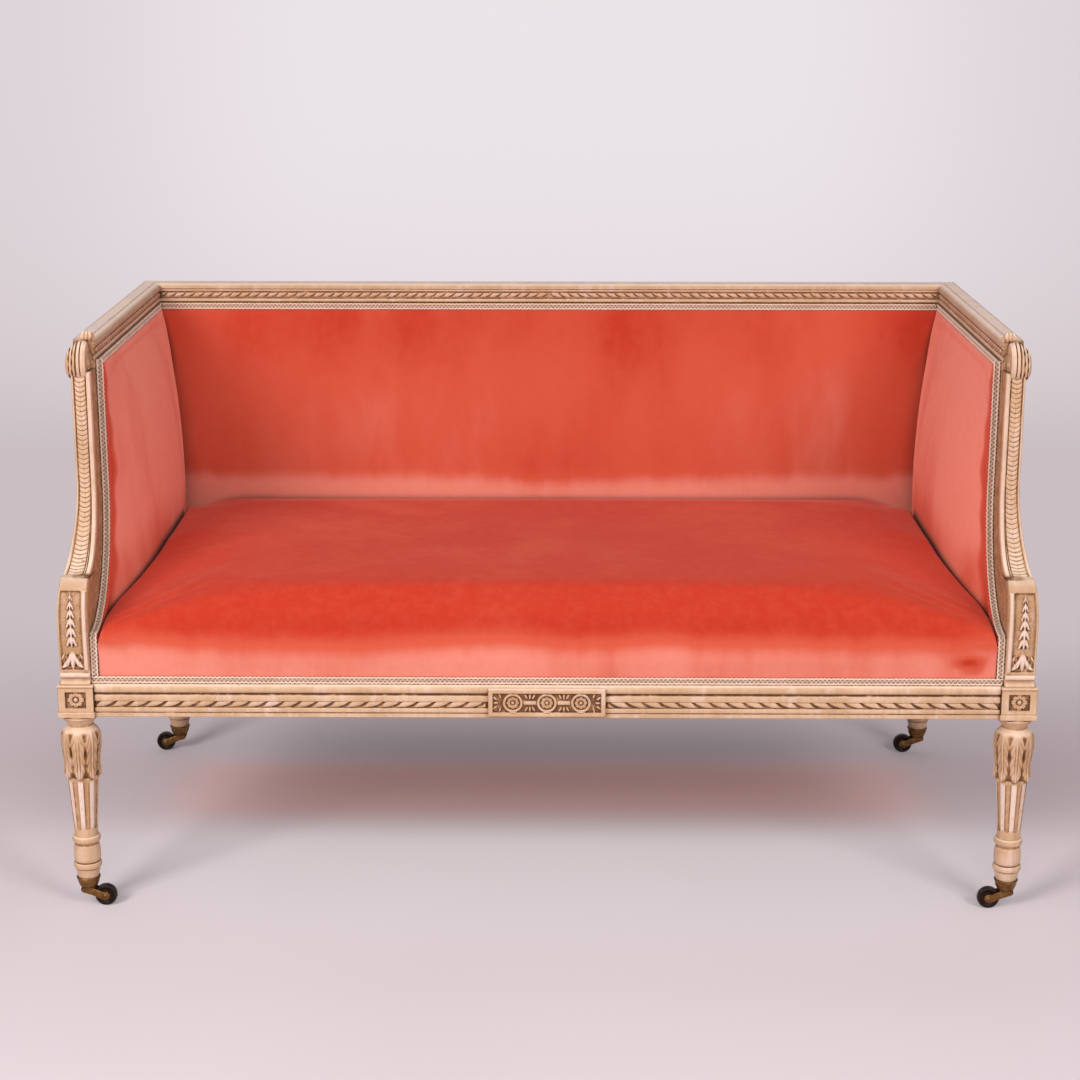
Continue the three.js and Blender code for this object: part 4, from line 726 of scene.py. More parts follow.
def leg_profile():
    """(height, radius) of the turned leg from the castor cup up to the die."""
    line = [(CUP_TOP - 0.012, 0.0128), (CUP_TOP, 0.0146), (0.0560, 0.0171), (0.0574, 0.0170),
            (0.0580, 0.0166)]
    line += bead(0.0584, 0.0672, 0.0178, 0.0021)
    line += [(0.0676, 0.0170), (0.0684, 0.0168)]
    line += curve_through([(0.0690, 0.0178), (0.0720, 0.0186), (0.0800, 0.0189), (0.0880, 0.0185),
                           (0.0925, 0.0176)], 4)
    line += [(0.0932, 0.0166), (0.0962, 0.0164), (0.0972, 0.0168)]
    line += bead(0.0975, 0.1068, 0.0174, 0.0026)
    line += [(0.1074, 0.0170), (0.1090, 0.0163), (0.1185, 0.0165), (0.1868, 0.0213), (0.1880, 0.0214)]
    line += curve_through([(0.1885, 0.0214), (0.1980, 0.0226), (0.2080, 0.0229), (0.2200, 0.0240),
                           (0.2310, 0.0254), (0.2400, 0.0264), (0.2500, 0.0268), (0.2580, 0.0262),
                           (0.2640, 0.0240), (0.2685, 0.0205), (0.2712, 0.0182)], 8)
    line += [(0.2718, 0.0175), (0.2734, 0.0173)]
    line += curve_through([(0.2740, 0.0178), (0.2770, 0.0196), (0.2800, 0.0222), (0.2826, 0.0240)], 5)
    line += bead(0.2830, 0.2864, 0.0240, 0.0011)
    line += [(0.2867, 0.0240), (RAIL_FOOT - FIT_GAP, 0.0243), (RAIL_FOOT + 0.002, 0.0238)]
    return np.array(line)


def fluting(height, turn, radius):
    """Depth of the round-ended flutes, and the glaze in them."""
    sector = 2 * math.pi / LEG_FLUTES
    offset = (np.mod(turn / sector, 1.0) - 0.5) * sector * radius
    width = FLUTE_HALF_WIDTH * radius / 0.019
    end = np.maximum(FLUTE_FOOT + width - height, 0) + np.maximum(height - FLUTE_TOP + width, 0)
    reach = np.hypot(offset, end) / width
    depth = np.sqrt(np.clip(1 - reach ** 2, 0, 1))
    fillet = smooth(reach, 1.0, 1.25) * smooth(height, FLUTE_FOOT, FLUTE_FOOT + 0.006) * (height < FLUTE_TOP)
    edge = bell(reach, 0.95, 0.16)
    return FLUTE_DEPTH * depth, 0.45 * smooth(depth, 0.0, 0.55) + 0.75 * edge - 0.8 * fillet * (1 - edge)


def acanthus(height, turn):
    """Rise of the leaves round the bulb, and the glaze between their lobes, with a painted shadow just below
    their tips.
    """
    fall = (LEAF_TOP - height) / (LEAF_TOP - LEAF_TIP)
    sector = 2 * math.pi / LEAF_COUNT
    offset = (np.mod(turn / sector + 0.5, 1.0) - 0.5) * 2
    across = np.abs(offset)
    inside = smooth(fall, -0.02, 0.06) * (1 - smooth(fall, 0.985, 1.0))
    lobes = 0.10 * np.cos(2 * math.pi * (3.2 * fall + 0.15))
    edge = np.clip(0.96 + lobes - 0.55 * smooth(fall, 0.74, 1.0) ** 1.4, 0.05, 1.12)
    leaf = np.clip(1 - (across / edge) ** 5, 0, 1) ** 0.6
    rib = bell(offset, 0, 0.10) * (1 - 0.4 * fall)
    groove = bell(across, 0.20, 0.07) * smooth(fall, 0.05, 0.3)
    vein = 0.5 - 0.5 * np.cos(2 * math.pi * (4.6 * fall - 1.7 * across))
    cup = 1 - 0.30 * bell(across, 0.45, 0.22)
    curl = smooth(fall, 0.70, 0.93) * (1 - 0.75 * (across / np.maximum(edge, 0.2)) ** 2).clip(0, 1)
    eye_fall = (fall - 0.44) / 0.085
    eye = np.exp(-((1 - across) / 0.13) ** 2 - eye_fall ** 2)
    low_eye = np.exp(-((1 - across) / 0.22) ** 2 - ((fall - 0.93) / 0.06) ** 2)
    rise = LEAF_RISE * leaf * cup * (0.62 + 0.22 * vein * smooth(across, 0.12, 0.5)) + LEAF_RISE * 0.40 * rib
    rise = rise - LEAF_RISE * 0.42 * groove + LEAF_CURL * curl * leaf
    rise = rise * inside - EYELET_DEPTH * (eye + 0.35 * low_eye) * smooth(fall, 0.0, 0.1) * (fall < 1.05)
    speckle = 0.5 + 0.5 * np.sin(41 * turn + 900 * height) * np.sin(29 * turn - 1500 * height)
    glaze = (0.75 * (1 - leaf) + 0.50 * groove + 0.50 * (1 - vein) * smooth(across, 0.15, 0.5)
             + 1.3 * eye + 0.8 * low_eye + 0.34 * speckle) * inside
    # Just below the leaf tips the shaft is darkened: a painted shadow of the tips.
    under = bell(height - LEAF_TIP, -0.0012, 0.0016) * smooth(across, 0.9, 0.2)
    white = 0.75 * smooth(rise, 0.0017, 0.0034) * (1 - speckle) * inside
    return rise, np.clip(glaze + 0.9 * under, 0, 1) - white


# (low, high, how much) of the leg's hollows that hold glaze, and (height, inner, outer, how much) of
# its rubbed rounds
LEG_HOLLOWS = ((0.0568, 0.0590, 1.0), (0.0664, 0.0694, 0.9), (0.0922, 0.0982, 0.9), (0.1066, 0.1090, 0.6),
               (0.2706, 0.2746, 0.7), (0.2816, 0.2838, 0.6), (0.2858, 0.2874, 1.0))
LEG_RUBBED = ((0.0510, 0.0030, 0.0060, 0.22), (0.0800, 0.006, 0.011, 0.16))


def add_turned_leg(shape, axis, carved):
    line, _ = resampled(leg_profile(), LEG_STEP)
    height, radius = line[:, 0][:, None], line[:, 1][:, None]
    turn = turns(LEG_SIDES)[None, :] + math.pi / LEG_SIDES
    depth, glaze = fluting(height, turn, radius)
    reach = radius - depth
    if carved:
        rise, leaf_glaze = acanthus(height, turn)
        reach = reach + rise
        glaze = np.where(np.abs(leaf_glaze) > 0.001, leaf_glaze, glaze)
    hollow = np.zeros_like(radius)
    for low, high, amount in LEG_HOLLOWS:
        heart = (low + high) / 2
        line_depth = amount * smooth(height, low, heart) * (1 - smooth(height, heart, high))
        hollow = np.maximum(hollow, line_depth)
    pale = sum(amount * (1 - smooth(np.abs(height - place), inner, outer))
               for place, inner, outer, amount in LEG_RUBBED)
    glaze = np.where(hollow > 0.02, np.maximum(glaze, hollow), glaze - pale)
    rings = np.stack([axis[0] + reach * np.cos(turn), axis[1] + reach * np.sin(turn),
                      np.broadcast_to(height, reach.shape)], axis=2)
    shape.loft(rings, np.broadcast_to(glaze, reach.shape))


DIE_BAND = 0.0085
DIE_NECK = 0.0014
DIE_LIP = 0.004
DIE_EDGE = 0.0012
DIE_LEVELS = 106
DIE_EDGE_GLAZE = -0.3
CORNER_STEPS = 4


def rounded_square(half_x, half_y, corner):
    """Points round a rectangle with rounded corners, as shares of a turn from the lower left."""
    points = []
    for cx, cy, start in ((1, -1, -90), (1, 1, 0), (-1, 1, 90), (-1, -1, 180)):
        for k in range(CORNER_STEPS + 1):
            angle = math.radians(start + 90 * k / CORNER_STEPS)
            points.append((cx * (half_x - corner) + corner * math.cos(angle),
                           cy * (half_y - corner) + corner * math.sin(angle)))
    return np.array(points)


def add_post(shape, axis, size, low, high, corner):
    """An upright square post with eased edges and ends."""
    rings = []
    for z, inset in ((low, corner), (low + corner * 0.3, corner * 0.3), (low + corner, 0),
                     (high - corner, 0), (high - corner * 0.3, corner * 0.3), (high, corner)):
        square = rounded_square(size[0] / 2 - inset, size[1] / 2 - inset, corner)
        rings.append(np.column_stack([square + np.array(axis), np.full(len(square), z)]))
    shape.loft(rings)


PATERA_WIDTH = 0.029
PATERA_HEIGHT = 0.023
PATERA_DEPTH = 0.0032
PATERA_RADIUS = 0.0119
PATERA_RISE = 0.0036
RELIEF_STEP = 0.00045


def die_relief(across, height, carved):
    """Rise over a face of the die, and its glaze, with the sunk rosette where it is carved."""
    foot, top = RAIL_FOOT - FIT_GAP, RAIL_TOP
    middle_z = (RAIL_FOOT + DIE_BAND + RAIL_TOP - DIE_LIP) / 2
    lower = smooth(height, foot + DIE_BAND - 0.0016, foot + DIE_BAND)
    upper = smooth(height, top - DIE_LIP + 0.0014, top - DIE_LIP)
    rise = -DIE_NECK * lower * upper
    glaze = 0.7 * bell(height, foot + DIE_BAND, 0.0009) + 0.6 * bell(height, top - DIE_LIP, 0.0009)
    glaze = glaze - 0.35 * smooth(height, foot + 0.001, foot + 0.003) * (1 - lower)
    if carved:
        up = height - middle_z
        side = np.maximum(np.abs(across) - PATERA_WIDTH / 2, np.abs(up) - PATERA_HEIGHT / 2)
        floor = -PATERA_DEPTH * (1 - smooth(side, -0.0009, 0.0))
        flower = rosette(across, up, PATERA_RADIUS, PATERA_RISE) * (side < 0)
        rise = rise + floor + flower
        low = np.clip(-(floor + flower) / PATERA_DEPTH, 0, 1) ** 0.8
        glaze = np.maximum(glaze, 0.8 * low) - 0.35 * smooth(flower, 0.0018, 0.0034)
        glaze = lined(glaze, 0.6 * bell(side, 0, 0.0006))
    grid = np.zeros(np.broadcast(across, height).shape)
    return rise + grid, glaze + grid


def add_die(shape, axis, size, faces):
    """The square die as one skin with eased edges, moulded at its foot and its top."""
    foot, top = RAIL_FOOT - FIT_GAP, RAIL_TOP
    heights = np.linspace(foot, top, DIE_LEVELS)[:, None]
    ends = DIE_EDGE * (1 - smooth(np.minimum(heights - foot, top - heights), 0, DIE_EDGE))
    rings, values = [], []
    for outward in ((0, -1), (1, 0), (0, 1), (-1, 0)):
        half = (size[0] if outward[1] else size[1]) / 2
        reach = (size[1] if outward[1] else size[0]) / 2
        sideways = np.array([-outward[1], outward[0]])
        across = np.arange(-half + DIE_EDGE, half - DIE_EDGE, RELIEF_STEP)[None, :]
        rise, glaze = die_relief(across, heights, outward in faces)
        out = reach + rise - ends
        corner = np.array([[30.0, 60.0]]) * math.pi / 180
        turned = half - DIE_EDGE + DIE_EDGE * np.sin(corner)
        edge_rise = rise[:, -1:] - ends
        across = np.concatenate([np.broadcast_to(across, out.shape), turned + edge_rise], axis=1)
        out = np.concatenate([out, reach - DIE_EDGE + DIE_EDGE * np.cos(corner) + edge_rise], axis=1)
        glaze = np.concatenate([glaze, np.full((len(heights), 2), DIE_EDGE_GLAZE)], axis=1)
        x = axis[0] + across * sideways[0] + out * outward[0]
        y = axis[1] + across * sideways[1] + out * outward[1]
        rings.append(np.stack([x, y, np.broadcast_to(heights, x.shape)], axis=2))
        values.append(glaze)
    shape.loft(np.concatenate(rings, axis=1), np.concatenate(values, axis=1))


def front_leg():
    shape = Shape()
    add_turned_leg(shape, FRONT_AXIS, True)
    add_die(shape, FRONT_AXIS, FRONT_DIE, ((0, -1), (1, 0)))
    return shape


def rear_leg():
    shape = Shape()
    add_turned_leg(shape, REAR_AXIS, False)
    add_die(shape, REAR_AXIS, REAR_DIE, ())
    axis = ((ARM_PLANE + REAR_DIE_OUTER) / 2, (BACK_PLANE + REAR_DIE_BACK) / 2)
    size = (REAR_DIE_OUTER - ARM_PLANE, REAR_DIE_BACK - BACK_PLANE)
    add_post(shape, axis, size, RAIL_TOP - DIE_LIP, TOP_RAIL_FOOT - FIT_GAP, 0.0010)
    return shape


# Mouldings

LOWER_BAND = 0.0140
CARVED_BAND = 0.0095
FILLET = 0.0080
GROOVE = 0.0030
RAIL_FACE = SEAT_RAIL_THICKNESS - 0.0020
BAND_DEPTH = 0.0030
RAIL_CROWN_FOOT = LOWER_BAND + CARVED_BAND + FILLET + GROOVE


def seat_rail_outline():
    """(outward, height) round the seat rail, and its glaze at each point."""
    face, top_foot, band_top = RAIL_FACE, RAIL_CROWN_FOOT, LOWER_BAND + CARVED_BAND
    outline = [(0.0, 0.0), (face - 0.0008, 0.0), (face, 0.0008), (face, 0.0058), (face - 0.0010, 0.0064),
               (face - 0.0010, 0.0070), (face + 0.0004, 0.0078)]
    outline += [(face + 0.0004 + 0.0006 * math.sin(a), 0.0078 + (LOWER_BAND - 0.0078) * k / 6)
                for k, a in enumerate(np.linspace(0, math.pi, 7)) if k]
    outline += [(face - BAND_DEPTH, LOWER_BAND + 0.0002), (face - BAND_DEPTH, band_top - 0.0002),
                (face + 0.0002, band_top), (face + 0.0006, band_top + 0.0012),
                (face + 0.0006, band_top + FILLET - 0.0008), (face, top_foot - GROOVE),
                (face - 0.0030, top_foot - GROOVE + 0.0012), (face - 0.0034, top_foot - 0.0014)]
    outline += [(reach, height) for height, reach in bead(top_foot, RAIL_HEIGHT, face - 0.0030, 0.0050, 10)]
    outline += [(0.0, RAIL_HEIGHT)]
    glaze = []
    for _, z in outline:
        in_groove = top_foot - GROOVE < z < top_foot + 0.0004
        in_band = LOWER_BAND < z < band_top
        in_line = 0.0060 < z < 0.0074
        glaze.append(0.70 if in_groove else 0.75 if in_band else 0.6 if in_line else 0.0)
    return outline, glaze


UP = np.array([0.0, 0.0, 1.0])


def run(start, end):
    """The way from one place to another, and how far it is."""
    way = np.array(end, float) - np.array(start, float)
    length = np.linalg.norm(way)
    return way / length, length


def add_moulding(shape, outline, glaze, start, end, outward, pieces=24, cut_start=0.0, cut_end=0.0):
    """An outline run from start to end. A cut slants that end by so much along for each unit outward."""
    along, length = run(start, end)
    outward = np.array(outward, float)
    rings = []
    for share in np.linspace(0, 1, pieces + 1):
        ring = []
        for x, z in outline:
            place = share * length + (1 - share) * cut_start * x + share * cut_end * x
            ring.append(start + along * place + outward * x + UP * z)
        rings.append(ring)
    shape.loft(rings, np.repeat(np.array(glaze, float)[None, :], pieces + 1, axis=0))


def add_ribbon(shape, start, end, outward, band, mirrored=False):
    """The wound ribbon from start to end, on a band of the moulding there."""
    ground, foot, height, pitch, rise = band
    along, length = run(start, end)
    outward = np.array(outward, float)
    s, v = np.meshgrid(np.arange(0, length, RIBBON_STEP), np.linspace(0, 1, 15))
    lift, glaze = ribbon(-s if mirrored else s, v, pitch, rise)
    fade = np.minimum(smooth(s, 0, 0.002), smooth(length - s, 0, 0.002))
    front = start + s[..., None] * along + (foot + v * height)[..., None] * UP \
        + (ground + lift * fade)[..., None] * outward
    shape.slab(front, -outward * 0.0010, glaze * 0.9)


RIBBON_STEP = 0.0007
TOP_DASH_FOOT = 0.0200
TOP_DASH_HEIGHT = 0.0068
# Each ribbon's band: how far out and how high it starts, its height, its pitch and its rise
SEAT_BAND = (RAIL_FACE - BAND_DEPTH, LOWER_BAND, CARVED_BAND, 0.0232, 0.0032)
TOP_BAND = (TOP_RAIL_THICKNESS - 0.0028, TOP_DASH_FOOT, TOP_DASH_HEIGHT, 0.0150, 0.0020)

TABLET_WIDTH = 0.162
TABLET_HEIGHT = 0.040
TABLET_PROJECTION = 0.004
TABLET_BORDER = 0.0062
TABLET_DEPTH = 0.008
TABLET_RECESS = 0.0026
RING_PITCH = 0.047
RING_RADIUS = 0.0120
RING_HALF_WIDTH = 0.0023
RING_RISE = 0.0030
FLOWER_RADIUS = 0.0095
FLOWER_RISE = 0.0027
TABLET_LEAF_RISE = 0.0026


def tablet_relief():
    """The centre tablet: a frame, three ringed rosettes, bars between them and leaves above and below."""
    half_width, half_height = TABLET_WIDTH / 2, TABLET_HEIGHT / 2
    columns = int(round(TABLET_WIDTH / RELIEF_STEP))
    rows = int(round(TABLET_HEIGHT / RELIEF_STEP))
    a, z = np.meshgrid(np.linspace(-half_width, half_width, columns + 1),
                       np.linspace(-half_height, half_height, rows + 1))
    side = np.maximum(np.abs(a) - half_width + TABLET_BORDER, np.abs(z) - half_height + TABLET_BORDER)
    ground = -TABLET_RECESS * (1 - smooth(side, -0.0010, 0.0))
    frame_round = 0.0008 * dome(side, TABLET_BORDER / 2, TABLET_BORDER / 2)
    motif = np.zeros_like(a)
    for k in (-1, 0, 1):
        reach = np.hypot(a - k * RING_PITCH, z)
        ring = RING_RISE * dome(reach, RING_RADIUS, RING_HALF_WIDTH)
        flower = rosette(a - k * RING_PITCH, z, FLOWER_RADIUS, FLOWER_RISE)
        motif = np.maximum(motif, np.maximum(ring, flower * (reach < RING_RADIUS)))
    for k in (-1.5, -0.5, 0.5, 1.5):
        centre = k * RING_PITCH
        if abs(k) < 1:
            bar = 0.0030 * np.clip(1 - (np.abs(a - centre) / 0.0095) ** 8, 0, 1) ** 0.5 * dome(z, 0, 0.0034)
            motif = np.maximum(motif, bar)
            for flip in (-1, 1):
                for shift, tilt in ((0.0, 0.0), (-0.0052, 0.55), (0.0052, -0.55)):
                    leaf = ellipsoid(a, z, centre + shift, flip * 0.0090, 0.0020, 0.0046,
                                     TABLET_LEAF_RISE, flip * tilt)
                    motif = np.maximum(motif, leaf)
        else:
            inward = -math.copysign(1, k)
            edge = math.copysign(half_width - TABLET_BORDER, k)
            for shift, up, tilt in ((0.0045, 0.0, 1.57), (0.0035, 0.0065, 0.9), (0.0035, -0.0065, -0.9),
                                    (0.0100, 0.0100, 0.35), (0.0100, -0.0100, -0.35)):
                leaf = ellipsoid(a, z, edge + inward * shift, up, 0.0019, 0.0042,
                                 TABLET_LEAF_RISE, inward * tilt)
                motif = np.maximum(motif, leaf)
    motif = motif * (side < 0)
    outer = np.minimum(half_width - np.abs(a), half_height - np.abs(z))
    rise = ground + frame_round + motif - 0.0008 * (1 - smooth(outer, 0, 0.0010))
    glaze = np.clip(-(ground + motif) / TABLET_RECESS, 0, 1) ** 0.7 * (side < 0)
    glaze = np.maximum(glaze, 0.55 * bell(side, 0, 0.0007))
    return a, z, rise, np.clip(glaze, 0, 1)


def front_seat_rail():
    shape = Shape()
    half = FRONT_DIE_INNER - FIT_GAP
    rear = FRONT_RAIL_FACE + SEAT_RAIL_THICKNESS
    add_moulding(shape, *seat_rail_outline(), (half, rear, RAIL_FOOT), (-half, rear, RAIL_FOOT), (0, -1, 0))
    inner = TABLET_WIDTH / 2 + 0.0020
    for sign in (-1, 1):
        near, far = sign * inner, sign * (half - 0.0006)
        add_ribbon(shape, (near, rear, RAIL_FOOT), (far, rear, RAIL_FOOT), (0, -1, 0), SEAT_BAND, True)
    a, z, rise, glaze = tablet_relief()
    face = FRONT_RAIL_FACE - TABLET_PROJECTION
    front = np.stack([a, face - rise, RAIL_FOOT + RAIL_HEIGHT / 2 + z], axis=2)
    shape.slab(front, (0, TABLET_DEPTH, 0), glaze)
    return shape


def side_seat_rail():
    """The rail at the right; it runs in a little towards the back."""
    shape = Shape()
    front = np.array([FRONT_AXIS[0] + FRONT_DIE[0] / 2 - RAIL_SETBACK - SEAT_RAIL_THICKNESS,
                      DIE_FRONT_Y + FRONT_DIE[1] + FIT_GAP, RAIL_FOOT])
    back = np.array([REAR_DIE_OUTER - REAR_RAIL_SETBACK - SEAT_RAIL_THICKNESS,
                     REAR_DIE_BACK - REAR_DIE[1] - FIT_GAP, RAIL_FOOT])
    along, _ = run(front, back)
    outward = np.array([along[1], -along[0], 0.0])
    skew = -outward[1] / along[1]
    add_moulding(shape, *seat_rail_outline(), front, back, outward, cut_start=skew, cut_end=skew)
    start = front + along * (0.004 + skew * SEAT_BAND[0])
    add_ribbon(shape, start, back - along * 0.004, outward, SEAT_BAND)
    return shape


def back_seat_rail():
    shape = Shape()
    face = SEAT_RAIL_THICKNESS
    outline = [(0.0, 0.0), (face - 0.001, 0.0), (face, 0.001), (face, RAIL_HEIGHT * 0.80),
               (face - 0.0008, RAIL_HEIGHT * 0.82), (face - 0.002, RAIL_HEIGHT * 0.83),
               (face - 0.002, RAIL_HEIGHT - 0.001), (face - 0.003, RAIL_HEIGHT), (0.0, RAIL_HEIGHT)]
    glaze = [0.0, 0.0, 0.0, 0.0, 0.2, 0.5, 0.3, 0.1, 0.0]
    half = REAR_DIE_INNER - FIT_GAP
    inner = REAR_DIE_BACK - SEAT_RAIL_THICKNESS
    add_moulding(shape, outline, glaze, (-half, inner, RAIL_FOOT), (half, inner, RAIL_FOOT), (0, 1, 0))
    return shape


def top_rail_outline():
    """(inward, height) round the top rail from its outer foot, and its glaze, with painted shade on the
    crest's ovolo.
    """
    reach = TOP_RAIL_THICKNESS
    height = TOP_RAIL_TOP - TOP_RAIL_FOOT
    seat = reach - RABBET_DEPTH
    floor = reach - 0.0032
    dash_top = TOP_DASH_FOOT + TOP_DASH_HEIGHT
    outline = [(0.0008, 0.0), (seat, 0.0), (seat, RABBET_HEIGHT), (reach - 0.0042, RABBET_HEIGHT)]
    outline += [(r, z) for z, r in bead(RABBET_HEIGHT + 0.0004, 0.0175, reach - 0.0040, 0.0030)]
    outline += [(floor, 0.0182), (floor, TOP_DASH_FOOT), (floor + 0.0004, TOP_DASH_FOOT + 0.0002),
                (floor + 0.0004, dash_top - 0.0002), (floor, dash_top), (floor, 0.0288)]
    outline += [(reach - 0.0018, 0.0294), (reach - 0.0010, 0.0300), (reach - 0.0010, 0.0322),
                (reach - 0.0016, 0.0328), (reach - 0.0016, 0.0334), (reach - 0.0002, 0.0338),
                (reach, 0.0344), (reach - 0.0006, 0.0350)]
    crest_foot, crest_reach, crest_depth = 0.0353, reach - 0.0008, 0.0098
    crest_rise = height - crest_foot - 0.0004
    outline += [(crest_reach - crest_depth * (1 - math.cos(a)), crest_foot + crest_rise * math.sin(a))
                for a in np.linspace(0, math.pi / 2, 9)]
    outline += [(crest_reach - crest_depth - 0.0008, height), (crest_reach - crest_depth - 0.0015, height),
                (0.0042, height)]
    outline += [(0.0024 - 0.0024 * math.sin(a), height - 0.0024 + 0.0024 * math.cos(a))
                for a in np.linspace(0, math.pi / 2, 5)]
    outline += [(0.0, 0.0008)]
    glaze = []
    for x, z in outline:
        inner = x > reach / 2
        groove = inner and (0.0178 < z < 0.0292)
        line = inner and (0.0325 < z < 0.0336 or 0.0348 < z < 0.0354)
        foot = inner and RABBET_HEIGHT - 0.0005 < z < RABBET_HEIGHT + 0.0008
        worn = z > height - 0.003 and x < 0.003
        crown = z > height - 0.0009 and abs(x - crest_reach + crest_depth + 0.0004) < 0.0005
        # The crest's ovolo is darkened a little: painted shade that sets it off from the flat top.
        crest = inner and crest_foot + 0.0006 < z < height - 0.0016
        marks = ((groove or crown, 0.65), (line, 0.5), (foot, 0.35), (worn, 0.6), (crest, 0.28), (True, 0.0))
        glaze.append(next(amount for found, amount in marks if found))
    return outline, glaze


def back_top_rail():
    shape = Shape()
    start, end = (-ARM_OUTER, BACK_Y, TOP_RAIL_FOOT), (ARM_OUTER, BACK_Y, TOP_RAIL_FOOT)
    add_moulding(shape, *top_rail_outline(), start, end, (0, -1, 0), pieces=30, cut_start=1.0, cut_end=-1.0)
    half = ARM_OUTER - TOP_RAIL_THICKNESS - 0.001
    for sign in (-1, 1):
        end = (sign * half, BACK_Y, TOP_RAIL_FOOT)
        add_ribbon(shape, (0, BACK_Y, TOP_RAIL_FOOT), end, (0, -1, 0), TOP_BAND, True)
    return shape


BARREL_WIDTH = 0.0278
BARREL_RADIUS = 0.0222
BARREL_CROWN = 0.0090
BARREL_X = SCROLL_INNER + BARREL_WIDTH / 2 + 0.0020
BARREL_Z = SCROLL_Z - 0.0092
VOLUTE_RADIUS = 0.0150
VOLUTE_TURNS = 1.6
VOLUTE_RISE = 0.0022
SCROLL_EYE = 0.0046


def add_scroll(shape):
    """The rolled end of the arm: plain bands at its inner side, ribbed and drilled leaves outside."""
    half = BARREL_WIDTH / 2
    x, phi = np.meshgrid(np.linspace(-half, half, 111), turns(180), indexing="ij")
    share = x / half
    to_crown = np.clip(1 - np.abs(phi - math.pi / 2) / (math.pi / 2), 0, 1)
    radius = BARREL_RADIUS + BARREL_CROWN * to_crown ** 1.5 * (1 - 0.70 * smooth(share, -0.5, 0.8))
    outer = np.clip((share - 0.15) / 0.85, 0, 1)
    inner = np.clip((-share - 0.70) / 0.30, 0, 1)
    radius = radius * (1 - 0.30 * (1 - np.sqrt(1 - 0.96 * outer ** 2)) / 0.80 - 0.07 * inner ** 2)
    line = bell(share, -0.46, 0.045) + bell(share, -0.06, 0.055)
    band = dome(np.mod((share + 0.06) / 0.40, 1.0), 0.5, 0.55) * (share < -0.06)
    lobes = smooth(share, -0.05, 0.05)
    rib = np.abs(np.sin(math.pi * (share + 0.04) / 0.345)) ** 0.75
    bite = bell(np.mod(phi * 9 / math.pi + 2.2 * share, 2), 1, 0.40)
    eye = lobes * bell(rib, 0.02, 0.50) * bite
    radius = radius + lobes * 0.0017 * (rib - 0.5) + 0.0006 * band - 0.0017 * line - 0.0022 * eye
    glaze = 0.62 * line + lobes * (0.10 + 0.34 * (1 - rib)) + 1.1 * eye - 0.30 * band * (1 - line)
    y, z = SCROLL_Y + radius * np.cos(phi), BARREL_Z + radius * np.sin(phi)
    shape.loft(np.stack([BARREL_X + x, y, z], axis=2), np.clip(glaze, -1, 1))
    for outward in (1, -1):
        add_volute(shape, BARREL_X + outward * (half - 0.0006), outward)


def add_volute(shape, plane_x, outward):
    """A spiral fillet winding in to an eye, on the cheek at plane_x."""
    r, phi = np.meshgrid(np.linspace(0.0001, VOLUTE_RADIUS, 46), turns(120), indexing="ij")
    pitch = (VOLUTE_RADIUS - SCROLL_EYE) / VOLUTE_TURNS
    angle = np.mod(phi * outward - math.pi / 2, 2 * math.pi) / (2 * math.pi)
    phase = np.mod((VOLUTE_RADIUS - r) / pitch - angle, 1.0)
    wall = np.minimum(phase, 1 - phase)
    spiral = (1 - smooth(wall, 0.05, 0.20)) * smooth(r, SCROLL_EYE, SCROLL_EYE + 0.0015)
    eye = dome(r, 0, SCROLL_EYE)
    rim = smooth(r, VOLUTE_RADIUS - 0.0030, VOLUTE_RADIUS - 0.0016)
    rise = 0.0004 + VOLUTE_RISE * np.maximum(np.maximum(0.45 * spiral, eye * 0.9), 0.4 * rim)
    glaze = np.clip(0.85 - 1.6 * rise / VOLUTE_RISE, 0, 1)
    y, z = SCROLL_Y + r * np.cos(phi), BARREL_Z + r * np.sin(phi)
    points = np.stack([plane_x + outward * rise, y, z], axis=2)
    back = points[-1] - np.array([outward * 0.003, 0, 0])
    values = np.concatenate([glaze, np.full((1, len(back)), SKIRT_GLAZE)])
    shape.loft(np.concatenate([points, back[None]]), values)


LEAF_TIP_WIDTH = 0.017
LEAF_TIP_RISE = 0.0135
LEAF_TIP_LENGTH = 0.020
LEAF_TIP_DEPTH = 0.0036
LEAF_TIP_PATH = ((0.42, -0.10), (0.30, 0.34), (0.02, 0.74), (-0.34, 0.90), (-0.60, 0.62), (-0.58, 0.28),
                 (-0.34, 0.18))


def add_leaf_tip(shape):
    """The leaf on top of the scroll whose tip rolls forward and over."""
    path = curve_through(LEAF_TIP_PATH, 9)
    path = np.array([(y * LEAF_TIP_LENGTH, z * LEAF_TIP_RISE) for y, z in path])
    normal = left_of(directions(path))
    share = np.linspace(0, 1, len(path))
    wave = 0.80 + 0.22 * np.sin(2 * math.pi * 1.6 * share + 0.6)
    width = LEAF_TIP_WIDTH / 2 * wave * (1 - 0.30 * share ** 3)
    thick = LEAF_TIP_DEPTH * (1 - 0.45 * share)
    near_x = ARM_PLANE - RABBET_DEPTH - 0.0012 + LEAF_TIP_WIDTH / 2
    side, face = np.cos(turns(40)), np.sin(turns(40))
    crease = bell(np.abs(side), 0.36, 0.14)
    body = np.sign(face) * np.abs(face) ** 0.7 * (1 - 0.75 * crease) + 0.55 * (1 - side ** 2) * (face > 0)
    rings = []
    for (y, z), (ny, nz), half, depth in zip(path, normal, width, thick):
        out = depth / 2 * body
        rings.append(np.stack([near_x + half * side, SCROLL_Y + y + ny * out,
                               TOP_RAIL_TOP + z + nz * out], axis=1))
    shape.loft(rings, 0.9 * crease - 0.2 * (1 - crease))


